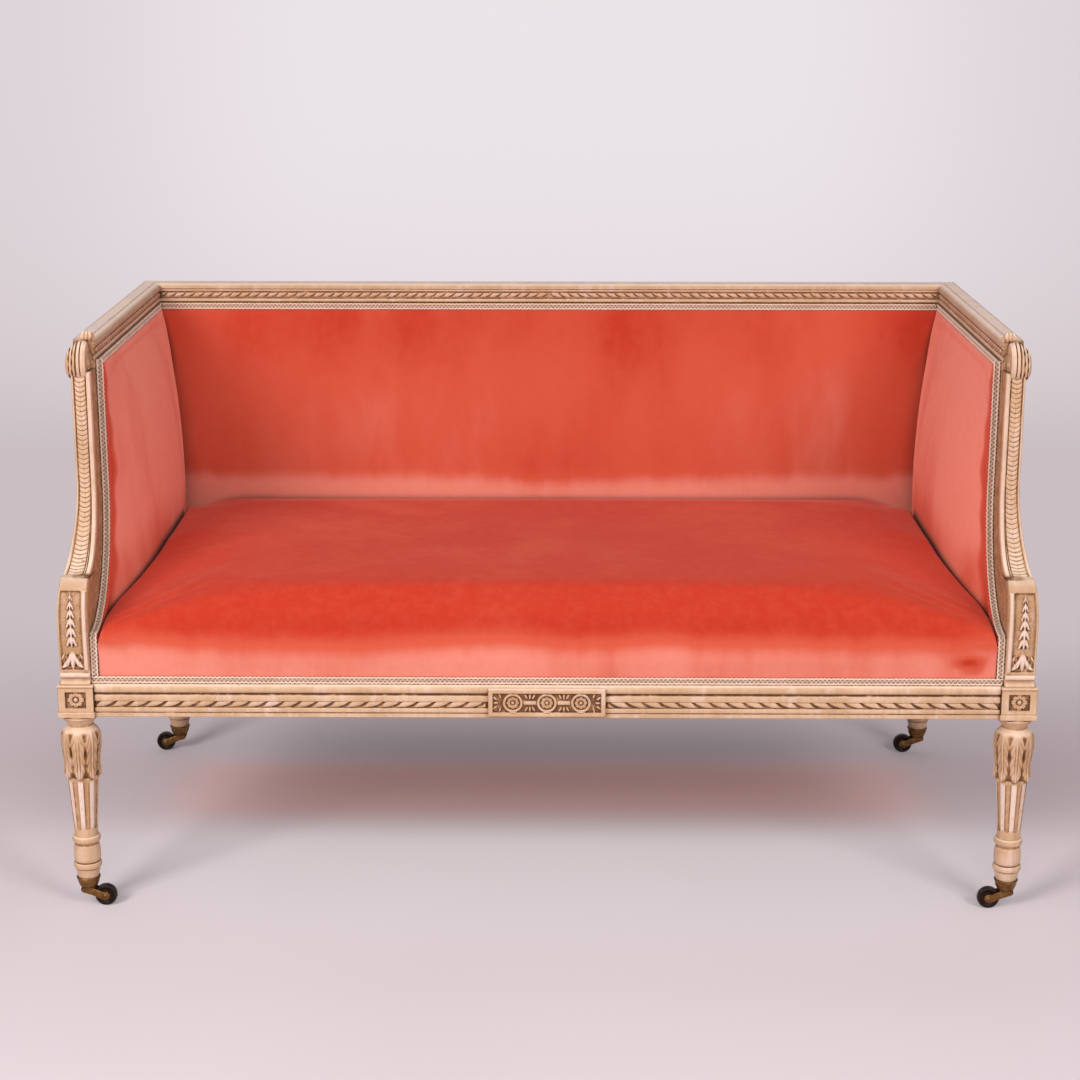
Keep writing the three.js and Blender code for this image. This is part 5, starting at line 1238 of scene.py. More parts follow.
def arm_rail():
    """The right arm rail, mitred at the back and rolled at the front."""
    shape = Shape()
    start = (ARM_OUTER, BACK_Y, TOP_RAIL_FOOT)
    end = (ARM_OUTER, SCROLL_Y + SCROLL_RADIUS * 0.45, TOP_RAIL_FOOT)
    add_moulding(shape, *top_rail_outline(), start, end, (-1, 0, 0), pieces=20, cut_start=1.0)
    start = (ARM_OUTER, BACK_Y - TOP_RAIL_THICKNESS - 0.001, TOP_RAIL_FOOT)
    add_ribbon(shape, start, (ARM_OUTER, SCROLL_Y + SCROLL_RADIUS, TOP_RAIL_FOOT), (-1, 0, 0), TOP_BAND)
    add_scroll(shape)
    add_leaf_tip(shape)
    return shape


# Arm supports

def arm_line(z, margin=0.0):
    """Depth of the braid's line on the inner side of the support at a height."""
    drop = np.clip((SWEEP_BACK - z) / (SWEEP_BACK - GIMP_SWEEP_FOOT + margin), 0, 1)
    return GIMP_FOOT_Y + (GIMP_STILE_Y - GIMP_FOOT_Y + margin) * np.sqrt(1 - drop ** 2)


def support_back(z):
    return np.maximum(CONSOLE_BACK, arm_line(z) + TACK_MARGIN)


def support_outer(z):
    narrowing = smooth(z, CONSOLE_TOP - CAP_HEIGHT, SWEEP_TOP)
    return ARM_PLANE + CONSOLE_WIDTH + (STILE_WIDTH - CONSOLE_WIDTH) * narrowing


TORUS_FOOT = RAIL_TOP + 0.010
TORUS_TOP = RAIL_TOP + 0.017
CAP_FOOT = CONSOLE_TOP - CAP_HEIGHT
PANEL_FOOT = TORUS_TOP + PANEL_BORDER
PANEL_HEAD = CONSOLE_TOP - PANEL_HEAD_SETBACK
PANEL_DEPTH = 0.0034
CHAIN_PITCH = 0.0068
CHAIN_RISE = 0.0019
CONSOLE_AXIS = 0.0232
CONSOLE_RISE = 0.0036
# (below the panel's head, width, length) of the bell flowers
HUSKS = ((0.0080, 0.0060, 0.0130), (0.0185, 0.0085, 0.0155), (0.0300, 0.0105, 0.0175),
         (0.0425, 0.0125, 0.0190), (0.0560, 0.0140, 0.0200), (0.0690, 0.0145, 0.0200))
# (aside, up, half width, half length, tilt) of the leaves below them, and (aside, up) of the drilled eyes
CONSOLE_LEAVES = ((0.0045, 0.0150, 0.0026, 0.0125, 0.30), (0.0085, 0.0110, 0.0024, 0.0100, 0.62),
                  (0.0112, 0.0050, 0.0024, 0.0052, 1.05), (0.0128, 0.0190, 0.0016, 0.0050, 0.45))
CONSOLE_EYES = ((0.0064, 0.0200), (0.0100, 0.0130), (0.0042, 0.0050))
SUPPORT_STEP = 0.0007
# Painted shade on the support's plain sides and back.
PLAIN_SIDE_SHADE = 0.72


def console_face(z):
    """Depth of the console's bowed face at a height: a slight belly that rounds back over the cap."""
    rise = np.clip((z - TORUS_TOP) / (CAP_FOOT - TORUS_TOP), 0, 1)
    over = np.clip((z - CAP_FOOT) / CAP_HEIGHT, 0, 1)
    belly = PANEL_BELLY * np.sin(math.pi / 2 * rise)
    return CONSOLE_FRONT + PANEL_INSET - belly + CAP_DEPTH * (1 - np.sqrt(1 - over ** 2))


def support_front_line():
    """(y, z) up the front of the support: base, torus, bowed console, its cap, then sweep and stile."""
    face = CONSOLE_FRONT + PANEL_INSET
    line = [(CONSOLE_FRONT, RAIL_TOP + FIT_GAP), (CONSOLE_FRONT + 0.0002, RAIL_TOP + 0.0026),
            (CONSOLE_FRONT + 0.0020, RAIL_TOP + 0.0034), (face + 0.0006, RAIL_TOP + 0.0062),
            (face + 0.0008, TORUS_FOOT - 0.0004)]
    line += [(face - r, z) for z, r in bead(TORUS_FOOT, TORUS_TOP, 0.0004, 0.0040, 10)]
    line += [(face + 0.0004, TORUS_TOP + 0.0004)]
    line += [(float(console_face(z)), z) for z in np.linspace(TORUS_TOP + 0.0012, CAP_FOOT, 14)]
    line += [(float(console_face(z)), z)
             for z in CAP_FOOT + CAP_HEIGHT * np.sin(np.linspace(0.06, 1, 26) * math.pi / 2)]
    sweep_foot = STILE_FRONT - SWEEP_REACH
    top_y = float(console_face(CONSOLE_TOP))
    line += [(top_y + 0.0004, CONSOLE_TOP - 0.0004), (top_y + 0.0009, CONSOLE_TOP - 0.0024),
             (top_y + 0.0014, CONSOLE_TOP - 0.0020)]
    line += [(sweep_foot + SWEEP_REACH * math.cos(a), SWEEP_TOP - (SWEEP_TOP - CONSOLE_TOP) * math.sin(a))
             for a in np.linspace(math.pi / 2, 0, 26)]
    line += [(STILE_FRONT, TOP_RAIL_FOOT - FIT_GAP)]
    return line


def console_relief(from_inner, from_outer, z):
    """The sunk field with bell flowers over a leaf, a bead at its inner side, and the plain head."""
    border = np.minimum(from_inner - 0.0088, from_outer - 0.0030)
    inside = smooth(z, PANEL_FOOT, PANEL_FOOT + 0.0007) * smooth(PANEL_HEAD - z, 0, 0.0009)
    panel = smooth(border, 0.0, 0.0008) * inside
    across = from_inner - CONSOLE_AXIS
    drop = np.zeros_like(across)
    eyes = np.zeros_like(across)
    for below, width, length in HUSKS:
        flower, eye = husk(across, PANEL_HEAD - below - z, width, length, CONSOLE_RISE)
        drop = np.maximum(drop, flower)
        eyes = np.maximum(eyes, eye)
    up = z - PANEL_FOOT
    for side in (-1, 1):
        for reach, place, half_across, half_along, tilt in CONSOLE_LEAVES:
            leaf = ellipsoid(across, up, side * reach, place, half_across, half_along,
                             0.92 * CONSOLE_RISE, side * tilt)
            drop = np.maximum(drop, leaf)
        for reach, place in CONSOLE_EYES:
            eye = np.exp(-((across - side * reach) / 0.0009) ** 2 - ((up - place) / 0.0016) ** 2)
            eyes = np.maximum(eyes, eye)
    drop = np.maximum(drop, ellipsoid(across, up, 0, 0.0130, 0.0034, 0.0135, 1.05 * CONSOLE_RISE))
    stem = 0.35 * CONSOLE_RISE * bell(across, 0, 0.0010)
    drop = np.maximum(drop, stem) * panel
    eyes = eyes * panel
    bead_up = dome(from_inner, 0.0043, 0.0030) * inside
    stipple = np.sin(2600 * across + 5 * np.sin(900 * z)) * np.sin(2300 * z + 4 * np.sin(1100 * across))
    lines = bell(from_inner, 0.0084, 0.0006) + 0.8 * bell(from_outer, 0.0028, 0.0005) \
        + 0.7 * bell(from_inner, 0.0006, 0.0005)
    ends = bell(z, PANEL_HEAD, 0.0007) + bell(z, PANEL_FOOT, 0.0007)
    rise = -PANEL_DEPTH * panel + drop - 0.0022 * eyes + 0.0022 * bead_up
    rise = rise + 0.0004 * stipple * panel * (drop < 0.0004) - 0.0009 * np.clip(lines, 0, 1) * inside
    ground = 1 - smooth(drop, 0.0003, 0.0020)
    glaze = (0.36 + 0.20 * stipple) * panel * ground - 0.75 * smooth(drop, 0.0012, 0.0030) - 0.6 * bead_up
    glaze = glaze - 0.5 * (1 - smooth(np.abs(z - (TORUS_FOOT + TORUS_TOP) / 2), 0.0030, 0.0052))
    head = smooth(z, PANEL_HEAD - 0.0005, PANEL_HEAD + 0.0010)
    glaze = lined(lined(glaze, lines * inside), eyes)
    return rise, glaze + 0.35 * head + 0.60 * np.clip(ends, 0, 1) * smooth(border, -0.001, 0.0)


def support_relief(from_inner, width, z, along):
    """Rise and glaze of the support's front: the console's panel below and the stile's chain above."""
    from_outer = width - from_inner
    rise, glaze = console_relief(from_inner, from_outer, z)
    on_stile = smooth(z, CONSOLE_TOP - 0.0002, CONSOLE_TOP + 0.0010)
    half = width * 0.29
    from_chain = from_inner - width * 0.565
    chain, chain_glaze = scales(from_chain, along, half, CHAIN_PITCH, CHAIN_RISE)
    in_chain = smooth(half - np.abs(from_chain), -0.0003, 0.0003)
    stile = (-0.0017 + chain) * in_chain
    inner_bead = 0.0018 * dome(from_inner, 0.0035, 0.0034)
    outer_bead = 0.0008 * dome(from_outer, 0.0016, 0.0016)
    side_line = np.maximum(bell(np.abs(from_chain), half + 0.0003, 0.0006), bell(from_inner, 0.0072, 0.0005))
    stile = stile + inner_bead + outer_bead - 0.0013 * side_line
    rubbed = 0.40 * (inner_bead > 0.0008) + 0.25 * (outer_bead > 0.0003)
    stile_glaze = lined(chain_glaze * in_chain * 0.62 - rubbed, 0.75 * side_line)
    rise = rise * (1 - on_stile) + stile * on_stile
    glaze = glaze * (1 - on_stile) + stile_glaze * on_stile
    notch = bell(z, CONSOLE_TOP, 0.0014) * smooth(from_outer, 0.010, 0.024)
    return rise - 0.0008 * notch, np.clip(glaze + 0.9 * notch, -1, 1)


def arm_support():
    shape = Shape()
    front, along = resampled(support_front_line(), SUPPORT_STEP)
    heights = front[:, 1]
    lowest, highest = heights[0], heights[-1]
    cap_place = along[np.argmax(heights > CONSOLE_TOP - 0.001)]
    stile_start = along[np.argmax(heights > SWEEP_TOP - 0.0005)]
    back_z = np.interp(along, [0, cap_place, stile_start, along[-1]],
                       [lowest, CONSOLE_TOP - 0.012, SWEEP_TOP + 0.004, highest])
    shares = np.linspace(0, 1, 72)
    s, z_front = np.meshgrid(shares, heights)
    width = (support_outer(heights) - ARM_PLANE)[:, None]
    across = s * width
    rise, glaze = support_relief(across, width, z_front, along[:, None])
    edge = np.minimum(across, width - across)
    rise = rise - 0.0012 * (1 - smooth(edge, 0, 0.0012))
    normal = left_of(directions(front))
    rise[0], rise[-1] = 0, 0
    face = np.stack([ARM_PLANE + across,
                     front[:, 0][:, None] + rise * normal[:, 0][:, None],
                     z_front + rise * normal[:, 1][:, None]], axis=2)
    outer_backs = np.stack([support_outer(back_z), support_back(back_z), back_z], axis=1)
    steps = np.linspace(0, 1, 8)[1:, None]
    thirds = np.array([[0.33], [0.67], [1.0]])
    rings = []
    for across_face, outer_back in zip(face, outer_backs):
        inner_edge, outer_edge = across_face[0], across_face[-1]
        inner_back = np.array([ARM_PLANE, outer_back[1], outer_back[2]])
        rings.append(np.concatenate([
            across_face,
            outer_edge + (outer_back - outer_edge) * steps,
            outer_back + (inner_back - outer_back) * thirds,
            inner_back + (inner_edge - inner_back) * steps[:-1]]))
    rings = np.array(rings)
    # The plain sides and back are darkened all over: painted shade.
    values = np.full(rings.shape[:2], PLAIN_SIDE_SHADE)
    values[:, :glaze.shape[1]] = glaze
    shape.loft(rings, values)
    return shape


# Upholstery

ARM_PAD_CROWN = 0.050
ARM_PAD_EDGE = 0.003
ARM_PAD_FRONT_EDGE = PAD_BASE_X - GIMP_INNER_X
ARM_PAD_END_CROWN = 0.038
ARM_PAD_END_REACH = 0.090
ARM_PAD_RIM_REACH = 0.045
BACK_PAD_CROWN = 0.046
BACK_PAD_EDGE = 0.004
SEAT_CROWN = 0.110
SEAT_EDGE = 0.010
SEAT_ROLL_DEPTH = 0.150
SEAT_CORNER_SHARE = 0.6
SEAT_LEVEL_REACH = 0.340
SEAT_EDGE_ROUND = 0.011
SEAT_ROLL_OVERHANG = 0.0045
PAD_HEIGHT = PAD_TOP - PAD_FOOT
SEAT_BACK_LEVEL = 0.442
ROLL_SHARE = 0.5
ARM_PAD_REACH = 0.300
OUTSIDE_PANEL_THICKNESS = 0.005


def fullness(z):
    """How full an upright pad is at a height: none at the top rail, most just above the seat."""
    share = np.clip((z - PAD_FOOT) / PAD_HEIGHT, 0, 1)
    below = 0.88 + 0.12 * share / 0.32
    above = 1 - np.clip((share - 0.32) / 0.68, 0, 1) ** 2.2
    return np.where(share < 0.32, below, above)


def grid_pad(surface, base, rows, columns):
    """A pad's points and faces, a fine grid with a wall to its base, and how free each point is to swell."""
    u, v = np.meshgrid(np.linspace(0, 1, columns), np.linspace(0, 1, rows))
    place = np.array([(u[at], v[at]) for at in edge_places(rows, columns)])
    points, faces = skirted(surface(u, v), base(place[:, 0], place[:, 1]))
    free = np.zeros(len(points))
    inner = np.minimum(np.minimum(u, 1 - u) * columns, np.minimum(v, 1 - v) * rows)
    free[:rows * columns] = smooth(inner.ravel(), 1.0, 5.0)
    return points, faces, free


def spaced(u):
    """Grid shares that run closer together at both ends."""
    return (1 - np.cos(math.pi * u)) / 2 * 0.55 + u * 0.45


def arm_pad_front(z):
    return np.maximum(arm_line(z, PAD_MARGIN), SEAT_FOOT_Y)


def arm_pad_thickness(y, z):
    """Full in the middle, drawn in at the back and down to the braid."""
    front = arm_pad_front(z)
    near_front = 1 - smooth(y, front, front + ARM_PAD_RIM_REACH)
    under_top = 1 - smooth(z, PAD_TOP - ARM_PAD_RIM_REACH, PAD_TOP)
    edge = ARM_PAD_EDGE + (ARM_PAD_FRONT_EDGE - ARM_PAD_EDGE) * near_front * under_top
    end = PAD_BASE_Y - BACK_PAD_CROWN
    crown = ARM_PAD_CROWN + (ARM_PAD_END_CROWN - ARM_PAD_CROWN) * smooth(y, end - ARM_PAD_END_REACH, end)
    filled = 1 - (1 - np.clip((y - front) / ARM_PAD_REACH, 0, 1)) ** 2
    return edge + (crown - edge) * filled * fullness(z)


def arm_pad_points():
    end_y = PAD_BASE_Y - BACK_PAD_EDGE

    def place(u, v):
        z = PAD_FOOT + spaced(v) * PAD_HEIGHT
        front = arm_pad_front(z)
        back_pad = BACK_PAD_EDGE + (BACK_PAD_CROWN - BACK_PAD_EDGE) * fullness(z) * 0.80
        end = PAD_BASE_Y - back_pad * smooth(z, PAD_TOP + 0.03, PAD_TOP - 0.10)
        end = np.minimum(end, end_y)
        return front + spaced(u) * (end - front), z, end

    def surface(u, v):
        y, z, end = place(u, v)
        thick = arm_pad_thickness(y, z)
        rounding = np.sqrt(np.clip(1 - np.clip((y - end + 0.012) / 0.012, 0, 1) ** 2, 0, 1))
        thick = ARM_PAD_EDGE + (thick - ARM_PAD_EDGE) * (0.55 + 0.45 * rounding)
        return np.stack([PAD_BASE_X - thick, y, z], axis=-1)

    def base(u, v):
        y, z, _ = place(u, v)
        return np.stack([np.full_like(y, PAD_BASE_X), y, z], axis=-1)

    return grid_pad(surface, base, 96, 110)


def back_pad_points():
    half = PAD_BASE_X - 0.001

    def surface(u, v):
        x = half * (2 * spaced(u) - 1)
        z = PAD_FOOT + spaced(v) * PAD_HEIGHT
        across = 1 - np.abs(x / half) ** 10
        swell = BACK_PAD_EDGE + (BACK_PAD_CROWN - BACK_PAD_EDGE) * fullness(z) * across
        return np.stack([x, PAD_BASE_Y - swell, z], axis=-1)

    def base(u, v):
        x = half * (2 * spaced(u) - 1)
        z = PAD_FOOT + spaced(v) * PAD_HEIGHT
        return np.stack([x, np.full_like(x, PAD_BASE_Y), z], axis=-1)

    return grid_pad(surface, base, 84, 200)


def seat_half(y, z):
    """Half the seat's width: out to the arm pads, and to the braid in front of them."""
    room = PAD_BASE_X - arm_pad_thickness(y, z) - 0.0006
    return np.minimum(room, GIMP_INNER_X - 0.0004)


def seat_points():
    """The seat: a deep soft roll over the front rail, square at its corners, that runs level to the back."""
    crest = SEAT_FOOT_Y - SEAT_ROLL_OVERHANG + SEAT_ROLL_DEPTH
    end = PAD_BASE_Y - BACK_PAD_CROWN * 0.97
    top = PAD_FOOT + SEAT_EDGE

    def place(v):
        angle = math.pi / 2 * np.clip(v / ROLL_SHARE, 0, 1) ** 1.4
        tuck = np.clip(1 - v / ROLL_SHARE / 0.5, 0, 1) ** 2
        rolled = crest - SEAT_ROLL_DEPTH * np.sqrt(np.clip(np.cos(angle), 0, 1)) + SEAT_ROLL_OVERHANG * tuck
        behind = crest + (end - crest) * (v - ROLL_SHARE) / (1 - ROLL_SHARE)
        return np.where(v >= ROLL_SHARE, behind, rolled), angle

    def surface(u, v):
        y, angle = place(v)
        share = np.abs(2 * spaced(u) - 1)
        along = np.clip((y - SEAT_FOOT_Y) / SEAT_LEVEL_REACH, 0, 1)
        corner = SEAT_CORNER_SHARE + (1 - SEAT_CORNER_SHARE) * along
        side = 1 + (corner - 1) * share ** 6
        power = 0.60 - 0.50 * share ** 8
        rise = SEAT_CROWN * side * np.sin(angle) ** power
        half = seat_half(y, np.minimum(top + rise, SEAT_BACK_LEVEL))
        back_drop = 0.010 * np.clip((y - end + 0.03) / 0.03, 0, 1) ** 3
        from_edge = half * (1 - share)
        turned = np.clip(1 - from_edge / SEAT_EDGE_ROUND, 0, 1)
        edge_drop = SEAT_EDGE_ROUND * (1 - np.sqrt(1 - turned ** 2)) * np.clip(rise / 0.05, 0, 1)
        corner_drop = 0.030 * np.clip(1 - from_edge / 0.09, 0, 1) ** 2 * smooth(y, end - 0.09, end)
        z = top + rise - back_drop - edge_drop - corner_drop
        return np.stack([half * (2 * spaced(u) - 1), y, z], axis=-1)

    def base(u, v):
        y, _ = place(v)
        x = seat_half(y, PAD_FOOT + 0.01) * (2 * spaced(u) - 1)
        return np.stack([x, y, np.full_like(x, PAD_FOOT)], axis=-1)

    return grid_pad(surface, base, 150, 220)


def arm_painted_sheen(points):
    """Painted sheen on the arm pad: deepest in a strip behind the braid and deeper low down, where the pad
    turns towards the eye; palest in the middle, seen edge-on.
    """
    _, y, z = points.T
    behind = y - arm_pad_front(z)
    edge = 0.030 + 0.006 * np.sin(31 * z + 1.0) + 0.004 * np.sin(97 * z)
    strip = smooth(behind, edge + 0.020, edge - 0.006)
    low = 1 - smooth(z, 0.44, 0.53)
    return 0.03 + 0.75 * strip + 0.32 * low * (1 - strip)


def back_painted_light_and_nap(points):
    # Painted light on the back: a pale band just above the seat, painted as light thrown up from it, and
    # painted shade deeper towards the top; the waves across are the nap's own.
    x, _, z = points.T
    band = 1 - smooth(z, 0.462, 0.505)
    return 0.52 + 0.22 * smooth(z, 0.60, 0.74) - 0.52 * band + 0.05 * np.sin(9 * x + 0.6) * np.sin(17 * x)


def seat_painted_light_and_wear(points):
    """Painted light on the seat: painted shade deep on top and deepest along the crest, painted light pale
    low on the roll, with one rubbed spot at the right.
    """
    x, y, z = points.T
    crest = smooth(y, -0.12, -0.29)
    low = 1 - smooth(z, 0.366 + 0.004 * np.sin(7 * x), 0.428)
    spot = np.exp(-((x - 0.584) / 0.020) ** 2 - ((z - 0.367) / 0.008) ** 2) * (y < -0.25)
    return (0.96 + 0.04 * crest) * (1 - low) + 0.10 * low + 0.85 * spot


def plain_nap(points):
    return np.full(len(points), 0.45)


def puffed(points, faces, free, name, pressure, cap, frames):
    """Cloth over stuffing: pressed outward with its border pinned, each point moved by no more than cap."""
    mesh = bpy.data.meshes.new(name + "_cloth")
    mesh.from_pydata(points, [], faces)
    mesh.validate()
    work = bpy.data.objects.new(name + "_cloth", mesh)
    bpy.context.scene.collection.objects.link(work)
    pins = work.vertex_groups.new(name="pins")
    for index, value in enumerate(free):
        pins.add([index], float(1 - value), "REPLACE")
    cloth = work.modifiers.new("Cloth", "CLOTH")
    settings = {"quality": 4, "mass": 0.4, "tension_stiffness": 40, "compression_stiffness": 40,
                "shear_stiffness": 12, "bending_stiffness": 6, "vertex_group_mass": "pins",
                "use_pressure": True, "uniform_pressure_force": pressure}
    for key, value in settings.items():
        setattr(cloth.settings, key, value)
    cloth.settings.effector_weights.gravity = 0
    cloth.collision_settings.use_collision = False
    scene = bpy.context.scene
    for step in range(1, frames + 1):
        scene.frame_set(step)
    evaluated = work.evaluated_get(bpy.context.evaluated_depsgraph_get())
    result = evaluated.to_mesh()
    moved = np.empty(len(points) * 3)
    result.vertices.foreach_get("co", moved)
    evaluated.to_mesh_clear()
    scene.frame_set(1)
    bpy.data.objects.remove(work)
    bpy.data.meshes.remove(mesh)
    shift = moved.reshape(-1, 3) - points
    length = np.linalg.norm(shift, axis=1)[:, None]
    return points + shift * np.minimum(1, cap / np.maximum(length, 1e-9))


def upholstered(name, points, faces, free, nodes, painted_light_and_nap, sign=1, fill=0.8, pressure=2.0, cap=0.004, frames=14):
    # Each piece stores its painted light and nap tone for the velvet to read.
    nap_and_painted_light = np.clip(painted_light_and_nap(points), 0, 1)
    points = puffed(points, faces, free, name, pressure, cap, frames)
    if sign < 0:
        points = points * (-1, 1, 1)
        faces = [face[::-1] for face in faces]
    shape = Shape()
    shape.add(points, faces, nap_and_painted_light)
    piece = shape.build(name, VELVET, "velvet", stands_for=nodes, sharp=60)
    return piece


def outside_panel(place, outward, crown):
    """A tight panel of velvet, hardly crowned; place gives its flat (x, y, z) for shares u and v."""
    outward = np.array(outward, float)

    def surface(u, v):
        swell = crown * (1 - np.abs(2 * u - 1) ** 6) * (1 - np.abs(2 * v - 1) ** 6)
        return place(u, v) + swell[..., None] * outward

    def base(u, v):
        return place(u, v) - outward * OUTSIDE_PANEL_THICKNESS

    return grid_pad(surface, base, 60, 70)


def outside_arm_place():
    low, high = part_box("outside_arm_panel_right")

    def place(u, v):
        z = low.z + (high.z - low.z) * v
        front = support_back(z) + FIT_GAP
        return np.stack([np.full_like(z, high.x), front + (high.y - front) * u, z], axis=-1)

    return place


def outside_back_place():
    low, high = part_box("outside_back_panel")

    def place(u, v):
        z = low.z + (high.z - low.z) * v
        return np.stack([high.x + (low.x - high.x) * u, np.full_like(z, high.y), z], axis=-1)

    return place


# Braid

GIMP_PITCH = 0.0061
GIMP_CORD = 0.00105
GIMP_LOOP_STEPS = 10
GIMP_CORD_SIDES = 6
GIMP_TWIST = 0.00045
GIMP_TAPE = ((-0.86, 0.0001), (-0.80, 0.0006), (0.0, 0.0008), (0.80, 0.0006), (0.86, 0.0001),
             (0.80, -0.0001), (-0.80, -0.0001))
TUBE_GUIDE = (0.31, 0.47, 0.83)


def tube(points, radius, sides):
    """Rings of points round a line, of one radius or of one for each of its points."""
    tangent = directions(points)
    first = np.cross(tangent, TUBE_GUIDE)
    first /= np.linalg.norm(first, axis=1)[:, None]
    second = np.cross(tangent, first)
    turn = turns(sides)[None, :, None]
    return points[:, None] + radius * (np.cos(turn) * first[:, None] + np.sin(turn) * second[:, None])


def add_gimp(shape, line, normal=None, sideways=None):
    """Braid along a line: a tape, two rows of loops in cord and a twisted cord down its middle.

    It lies on a plane with the given normal, or bends with its line and keeps one sideways direction."""
    fine, along = resampled(line, GIMP_PITCH / GIMP_LOOP_STEPS)
    padded = np.pad(directions(fine), ((3, 3), (0, 0)), mode="edge")
    tangent = np.stack([np.convolve(padded[:, k], np.ones(7) / 7, "valid") for k in range(3)], axis=1)
    tangent /= np.linalg.norm(tangent, axis=1)[:, None]
    if sideways is None:
        normal = np.broadcast_to(np.array(normal, float), tangent.shape)
        side = np.cross(normal, tangent)
    else:
        side = np.broadcast_to(np.array(sideways, float), tangent.shape)
        normal = np.cross(tangent, side)
    half = GIMP_WIDTH / 2
    tape = [fine + side * half * offset + normal * lift for offset, lift in GIMP_TAPE]
    # The tape, seen only between and under the loops, is darkened: painted shade.
    shape.loft(np.stack(tape, axis=1)[::4], 0.75)
    turn = 2 * math.pi * along / GIMP_PITCH
    for row in (-1, 1):
        phase = turn + (0.0 if row > 0 else math.pi)
        wave = row * half * (0.50 + 0.30 * np.cos(phase))
        slip = 0.27 * GIMP_PITCH * np.sin(phase)
        lift = GIMP_CORD + 0.0004 + 0.0005 * (0.5 + 0.5 * np.cos(phase))
        cord = fine + side * wave[:, None] + tangent * slip[:, None] + normal * lift[:, None]
        thick = GIMP_CORD * (1 + 0.22 * np.cos(phase))[:, None, None]
        # Each loop is darkened where it dips to the tape: painted shade.
        low = 0.25 * smooth(-np.cos(phase), 0.35, 0.95)[:, None] * np.ones((1, GIMP_CORD_SIDES))
        shape.loft(tube(cord, thick, GIMP_CORD_SIDES), low)
    for strand in (0, math.pi):
        twist = turn * 1.5 + strand
        cord = fine + side * (GIMP_TWIST * np.cos(twist))[:, None] \
            + normal * (0.0009 + GIMP_TWIST * np.sin(twist))[:, None]
        shape.loft(tube(cord, 0.00055, 5), 0.35)


def arm_gimp_line():
    """(y, z) of the braid down the stile, along the sweep and down in front of the pad."""
    drop = np.sin(np.linspace(0, math.pi / 2, 60))
    heights = SWEEP_BACK - (SWEEP_BACK - GIMP_SWEEP_FOOT) * drop
    line = [(GIMP_STILE_Y, GIMP_TOP_Z + GIMP_WIDTH / 2)]
    line += [(float(arm_line(z)), z) for z in heights]
    line += [(GIMP_FOOT_Y, PAD_FOOT + GIMP_WIDTH + FIT_GAP)]
    return line


def braid_pieces():
    for side, sign in SIDES:
        shape = Shape()
        add_gimp(shape, [(PAD_BASE_X, PAD_BASE_Y - BACK_PAD_EDGE - 0.001, GIMP_TOP_Z),
                         (PAD_BASE_X, GIMP_STILE_Y, GIMP_TOP_Z)], (-1, 0, 0))
        middle_x = (GIMP_INNER_X + GIMP_OUTER_X) / 2
        down = [(middle_x, y + GIMP_THICKNESS / 2, z) for y, z in arm_gimp_line()]
        add_gimp(shape, down, sideways=(1, 0, 0))
        shape.mirrored(sign).build(f"gimp_arm_{side}", GIMP, "braid", stands_for=[f"braid_arm_{side}"])
    shape = Shape()
    half = PAD_BASE_X - 0.0032
    add_gimp(shape, [(-half, PAD_BASE_Y, GIMP_TOP_Z), (half, PAD_BASE_Y, GIMP_TOP_Z)], (0, -1, 0))
    shape.build("gimp_back", GIMP, "braid", stands_for=["braid_back"])
    shape = Shape()
    face, level = SEAT_FOOT_Y - FIT_GAP, PAD_FOOT + GIMP_WIDTH / 2
    half = ARM_PLANE - 2 * FIT_GAP
    add_gimp(shape, [(-half, face, level), (half, face, level)], (0, -1, 0))
    shape.build("gimp_seat", GIMP, "braid", stands_for=["braid_seat"])


# Castors

TRAIL = 0.024
WHEEL_RADIUS = 0.0155
CHEEK_PLANES = (0.0061, 0.0087)
AXLE_REACH = 0.0090
CASTORS = {
    "front_left": (-1, FRONT_AXIS, 1),
    "front_right": (1, FRONT_AXIS, -1),
    "rear_left": (-1, REAR_AXIS, -1),
    "rear_right": (1, REAR_AXIS, -1),
}


def lathe(shape, profile, centre, axis, sides):
    """A closed profile of (along, radius) turned about the y or the z axis."""
    along, radius = np.array(profile).T[:, :, None]
    first, second = radius * np.cos(turns(sides)), radius * np.sin(turns(sides))
    level = np.broadcast_to(along, first.shape)
    order = {"z": (first, second, level), "y": (first, level, second)}[axis]
    shape.loft(np.stack(order, axis=2) + np.array(centre))


def castor_cup(axis):
    shape = Shape()
    waist = CUP_FOOT + 0.0018
    profile = [(CUP_FOOT, 0.0034), (CUP_FOOT, 0.0112), (CUP_FOOT + 0.0006, 0.0122), (waist, 0.0129)]
    profile += [(waist + 0.0100 * k / 6, 0.0129 + 0.0026 * math.sin(math.pi / 2 * k / 6))
                for k in range(1, 7)]
    profile += bead(CUP_TOP - 0.0032, CUP_TOP, 0.0154, 0.0014)
    profile += [(CUP_TOP, 0.0149), (CUP_TOP - 0.004, 0.0147)]
    lathe(shape, profile, (axis[0], axis[1], 0), "z", 72)
    return shape


def horn_outline():
    """Side view of a fork cheek: a broad root under the cup that tapers to a boss at the axle."""
    plate = CUP_FOOT - 0.0021
    upper = curve_through([(-0.0100, plate), (0.0050, plate), (0.0125, 0.0250), (0.0195, 0.0222)], 7)
    boss = [(TRAIL + 0.0064 * math.cos(a), WHEEL_RADIUS + 0.0064 * math.sin(a))
            for a in np.linspace(math.radians(100), math.radians(-105), 18)]
    lower = curve_through([(TRAIL - 0.0070, 0.0112), (0.0095, 0.0150), (-0.0010, 0.0188), (-0.0080, 0.0212),
                           (-0.0104, 0.0238)], 7)
    return upper + boss + lower


